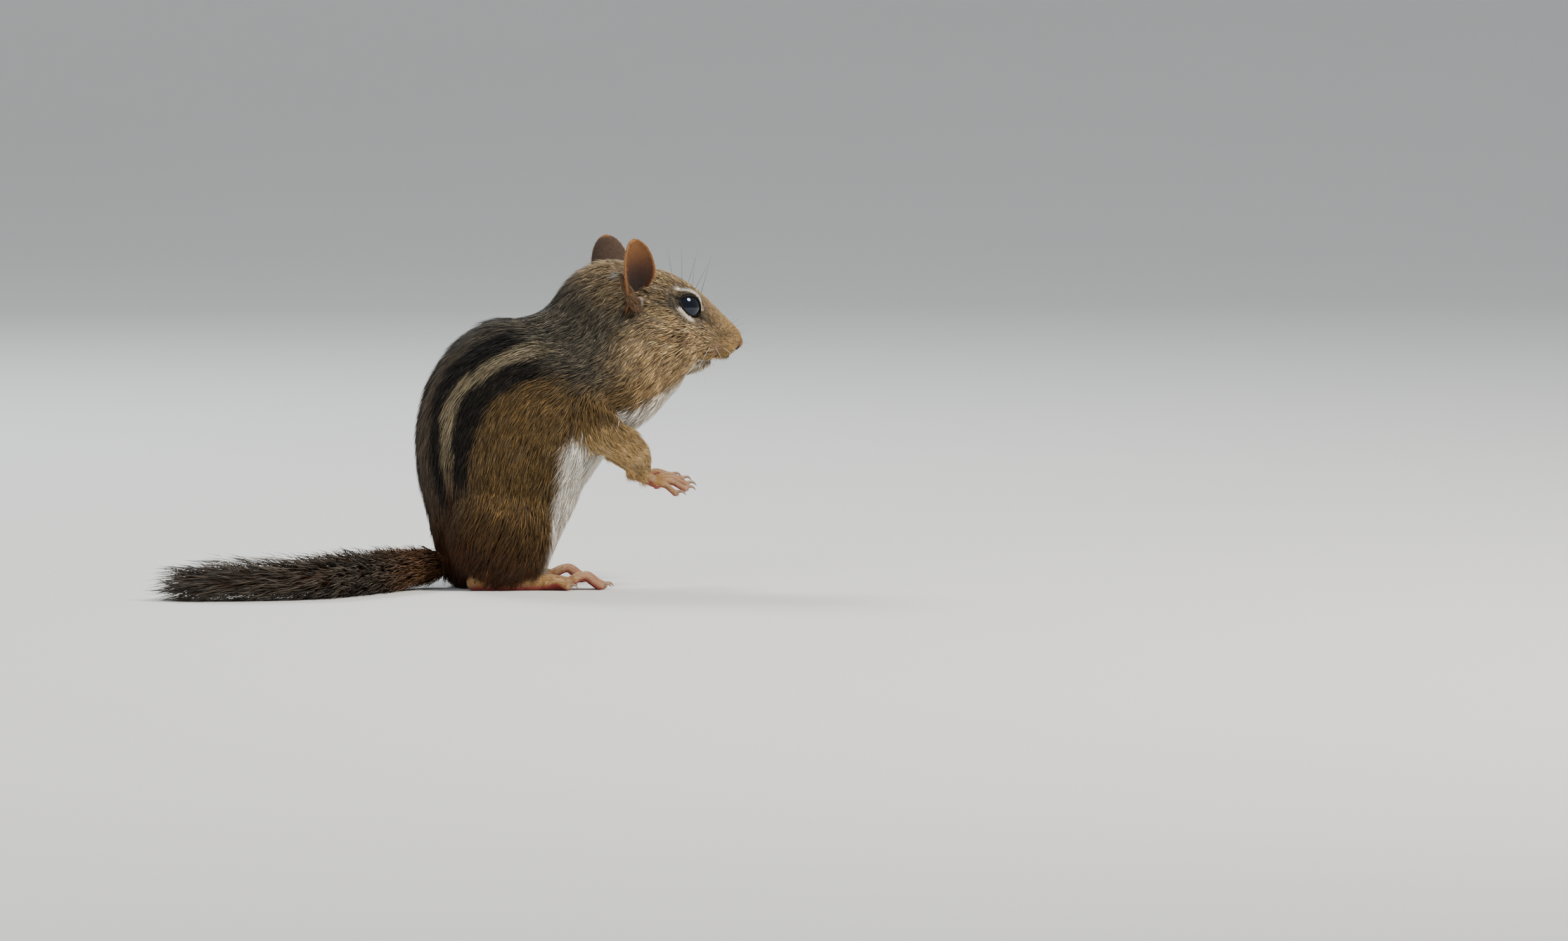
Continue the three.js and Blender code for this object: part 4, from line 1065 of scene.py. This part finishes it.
def sow_ears(mesh, ear_map, color, height, edge, lie):
    """Short straight hair on the ears, rooted on their triangles, and closer near the rims."""
    count = TUFTS["ears"]
    mesh.calc_loop_triangles()
    corners = read(mesh.loop_triangles, "vertices", 3, int)
    loops = read(mesh.loop_triangles, "loops", 3, int)
    p = read(mesh.vertices, "co", 3) / MM - OFFSET
    a, b, c = (p[corners[:, k]] for k in range(3))
    near_rim = edge[corners].mean(axis=1) > 0.85
    chance = np.linalg.norm(np.cross(b - a, c - a), axis=1) * (1 + 1.5 * near_rim)
    pick = rng.choice(len(corners), count, p=chance / chance.sum())
    s, r = np.sqrt(rng.random(count)), rng.random(count)
    shares = np.stack([1 - s, s * (1 - r), s * r], -1)

    def at(values):
        return np.einsum("nk,nk...->n...", shares, values[corners[pick]])

    normal = unit(at(read(mesh.vertices, "normal", 3)))
    way = unit(within(at(lie), normal) + rng.normal(0, 0.12, (count, 3)))
    way = unit(within(way, normal))
    length = (1.5 - 0.7 * at(height)) * rng.uniform(0.6, 1.2, count)
    shade = at(color) * np.exp(rng.normal(0.1, 0.28, count))[:, None]
    spots = np.einsum("nk,nkc->nc", shares, ear_map[loops[pick]])
    tufts = {"place": at(p), "normal": normal, "lie": way, "length": length, "width": np.full(count, 0.10),
             "lift": np.full(count, 0.24), "root": shade * 0.6, "tip": shade * 1.2, "uv": spots}
    tuft_mesh("ears_nap", tufts, bent=False)


build_ears()


# Eyes, lids, nose and whiskers
def lid_rim(side, rows=96, columns=12):
    """The bare rim of an eye's lids, (points, quads) of a closed ring: the lids' line on the eye, plus
    thick (1.15 cos r across + 0.6 sin r away) for r round the section."""
    centre, fore, up, out = eye_frame(side)
    angle = np.arange(rows) / rows * 2 * math.pi
    a, b = opening(angle)
    d = np.sqrt(EYE["radius"] ** 2 - a * a - b * b) + 0.05
    line = centre + fore * a[:, None] + up * b[:, None] + out * d[:, None]
    ahead = unit(np.roll(line, -1, axis=0) - np.roll(line, 1, axis=0))
    away = unit(line - centre)
    across = np.cross(ahead, away)
    ring = (np.arange(columns) / columns * 2 * math.pi)[None, :, None]
    thick = 0.2 + 0.2 * np.abs(np.cos(angle)) ** 6 + 0.14 * np.clip(np.sin(angle + 0.7), 0, 1)
    section = np.cos(ring) * across[:, None] * 1.15 + np.sin(ring) * away[:, None] * 0.6
    rim = line[:, None] + thick[:, None, None] * section
    j = np.arange(columns)
    after = (j + 1) % columns
    here = np.arange(rows)[:, None] * columns
    there = np.roll(here, -1, axis=0)
    quads = np.stack([here + j, here + after, there + after, there + j], -1)
    return rim.reshape(-1, 3), quads.reshape(-1, 4)


def build_eyes():
    """Each eye a ball, with a rim round its lids' opening."""
    for side, name in ((1, "left_eye"), (-1, "right_eye")):
        centre = turned(sided(EYE["at"], side))
        ball = closed_grid(ball_rings(centre, [EYE["radius"] - 0.05] * 3, rows=48, columns=64))
        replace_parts(mesh_object(name + "_globe", [ball], eye_material), name)
    mesh_object("lid_rims", [lid_rim(side) for side in (1, -1)], lid_material)


def build_nose():
    """Bare nose leather, an ellipsoid with a cleft, and a dark slit on either side, sunk in the body's skin,
    whose darkness is painted shade of the nostril's opening.
    """
    rings = ball_rings([0, 0, 0], NOSE["half"], rows=60, columns=80)
    way = unit(rings)
    cleft = (1 - smooth(0.03, 0.14, np.abs(way[..., 1]))) * smooth(0.45, -0.2, way[..., 2])
    rings = turned(rings - way * (0.4 * cleft)[..., None] + np.array(NOSE["at"]))
    mesh_object("nose", [closed_grid(rings)], nose_material)
    # The nostrils: dark ellipsoids that stand for the openings, painted shade where the holes lie
    slits = []
    for side in (1, -1):
        at = turned(sided(NOSTRIL["at"], side))
        k = np.argmin(np.linalg.norm(body.places - at, axis=1))
        sunk = body.places[k] - body.normals[k] * NOSTRIL["sunk"]
        slits.append(closed_grid(ball_rings(sunk, NOSTRIL["half"], NOSTRIL["pitch"], rows=16, columns=20)))
    mesh_object("nostrils", slits, lid_material)


def whisker(root, way, length, droop, thick):
    """A tapered hair that bends down: root + way s L - z droop s^2 L."""
    s = np.linspace(0, 1, 14)
    bend = np.outer(s**2 * droop * length, [0, 0, 1])
    line = np.array(root) + np.outer(s * length, unit(np.array(way, float))) - bend
    size = thick * (1 - 0.93 * s)
    stops = np.column_stack([line, size, size])
    return closed_grid(turned(tube_rings(stops, rows=14, columns=6, across=(0.1, 0.3, 1))))


def build_whiskers():
    """Four rows of whiskers on each side of the muzzle, with three over each eye and three below."""
    dark, pale = [], []
    for side in (1, -1):
        for row in range(4):
            for k in range(5 - row // 2):
                root = [58.4 - 1.15 * k - 0.3 * row, side * (2.6 + 0.75 * k), 64.4 - 1.05 * row - 0.15 * k]
                way = [0.75 - 0.42 * k, side * (0.8 + 0.1 * k), 0.5 - 0.28 * row + 0.05 * k]
                length = (9 + 3.3 * k) * rng.uniform(0.85, 1.1)
                hair = whisker(root, way, length, rng.uniform(0.02, 0.16), 0.065)
                (dark if row < 3 else pale).append(hair)
        for x, z, lean in ((51.6, 74.2, 0.2), (50.2, 75.6, 0.45), (46.6, 77.4, -0.1)):
            root, way = [x, side * 4.2, z], [lean, side * 0.35, 1]
            dark.append(whisker(root, way, rng.uniform(8, 11), -0.05, 0.055))
        for k in range(3):
            root = [55 - 1.8 * k, side * (1.8 + 0.5 * k), 56.6]
            pale.append(whisker(root, [0.35, side * 0.5, -0.75], rng.uniform(7, 10), 0.05, 0.05))
    mesh_object("whiskers", dark, whisker_material)
    mesh_object("whiskers_pale", pale, pale_whisker_material)


build_eyes()
build_nose()
build_whiskers()


# Floor, light and camera
def build_stage():
    """A pale floor and a backdrop well past the view, with a quarter circle between the two flats."""
    radius = 1.5
    x = np.linspace(-6, 6, 5)
    arc = np.radians(np.linspace(0, 90, 13))[1:]
    run = np.concatenate([[-5.0, 0.0, radius], radius + radius * np.sin(arc), [2 * radius]])
    rise = np.concatenate([[0.0, 0.0, 0.0], radius - radius * np.cos(arc), [5.0]])
    points = np.stack([np.tile(x, len(run)), np.repeat(run, len(x)), np.repeat(rise, len(x))], -1)
    i, j = np.meshgrid(np.arange(len(run) - 1), np.arange(len(x) - 1), indexing="ij")
    faces = (i * len(x) + j).reshape(-1, 1) + np.array([0, 1, len(x) + 1, len(x)])
    mesh = bpy.data.meshes.new("backdrop")
    mesh.from_pydata(points.tolist(), [], faces.tolist())
    mesh.polygons.foreach_set("use_smooth", np.ones(len(mesh.polygons), bool))
    obj = bpy.data.objects.new("backdrop", mesh)
    bpy.context.scene.collection.objects.link(obj)
    mesh.materials.append(plain_material("backdrop_pale", 0xD9D8D4, 0.9, 6, 0.01, 0.0))


def light(name, at, size, power, color):
    """A round soft light aimed at the animal's middle."""
    lamp = bpy.data.lights.new(name, "AREA")
    lamp.shape = "DISK"
    lamp.size = size
    lamp.energy = power
    lamp.color = color
    obj = bpy.data.objects.new(name, lamp)
    obj.location = at
    obj.rotation_euler = (Vector((0.02, 0, 0.05)) - Vector(at)).to_track_quat("-Z", "Y").to_euler()
    bpy.context.scene.collection.objects.link(obj)


def build_lights():
    light("key", (0.62, -0.55, 0.95), 0.42, 21, (1.0, 0.95, 0.87))
    light("fill", (-0.8, -0.9, 0.5), 0.9, 4, (0.94, 0.97, 1.0))
    light("rim", (-0.35, 0.9, 0.9), 0.5, 13, (0.90, 0.95, 1.0))
    world = bpy.data.worlds.new("studio")
    world.use_nodes = True
    sky = world.node_tree.nodes["Background"]
    sky.inputs["Color"].default_value = (0.80, 0.86, 0.95, 1)
    sky.inputs["Strength"].default_value = 0.55
    bpy.context.scene.world = world


# zero is the pixel of the animal's own origin; angles in degrees, distance in metres
PICTURE = {"pixels": (2474, 1484), "zero": (788, 925), "pixels_a_mm": 6.2,
           "azimuth": -10.0, "elevation": 3.5, "distance": 3.0}


def build_camera():
    """A long lens that gives the photo's framing."""
    a, e = math.radians(PICTURE["azimuth"]), math.radians(PICTURE["elevation"])
    right = np.array([math.cos(a), math.sin(a), 0])
    back = np.array([math.sin(a) * math.cos(e), -math.cos(a) * math.cos(e), math.sin(e)])
    up = np.cross(back, right)
    (wide, high), (zero_x, zero_y), k = PICTURE["pixels"], PICTURE["zero"], PICTURE["pixels_a_mm"]
    centre = right * (wide / 2 - zero_x) / k + up * (zero_y - high / 2) / k
    target = Vector(place(centre))
    lens = bpy.data.cameras.new("camera")
    lens.sensor_width = 36
    lens.lens = 36 * PICTURE["distance"] / (wide / k * MM)
    lens.clip_end = 50
    camera = bpy.data.objects.new("camera", lens)
    camera.location = target + Vector(back) * PICTURE["distance"]
    camera.rotation_euler = (target - camera.location).to_track_quat("-Z", "Y").to_euler()
    bpy.context.scene.collection.objects.link(camera)
    bpy.context.scene.camera = camera


build_stage()
build_lights()
build_camera()
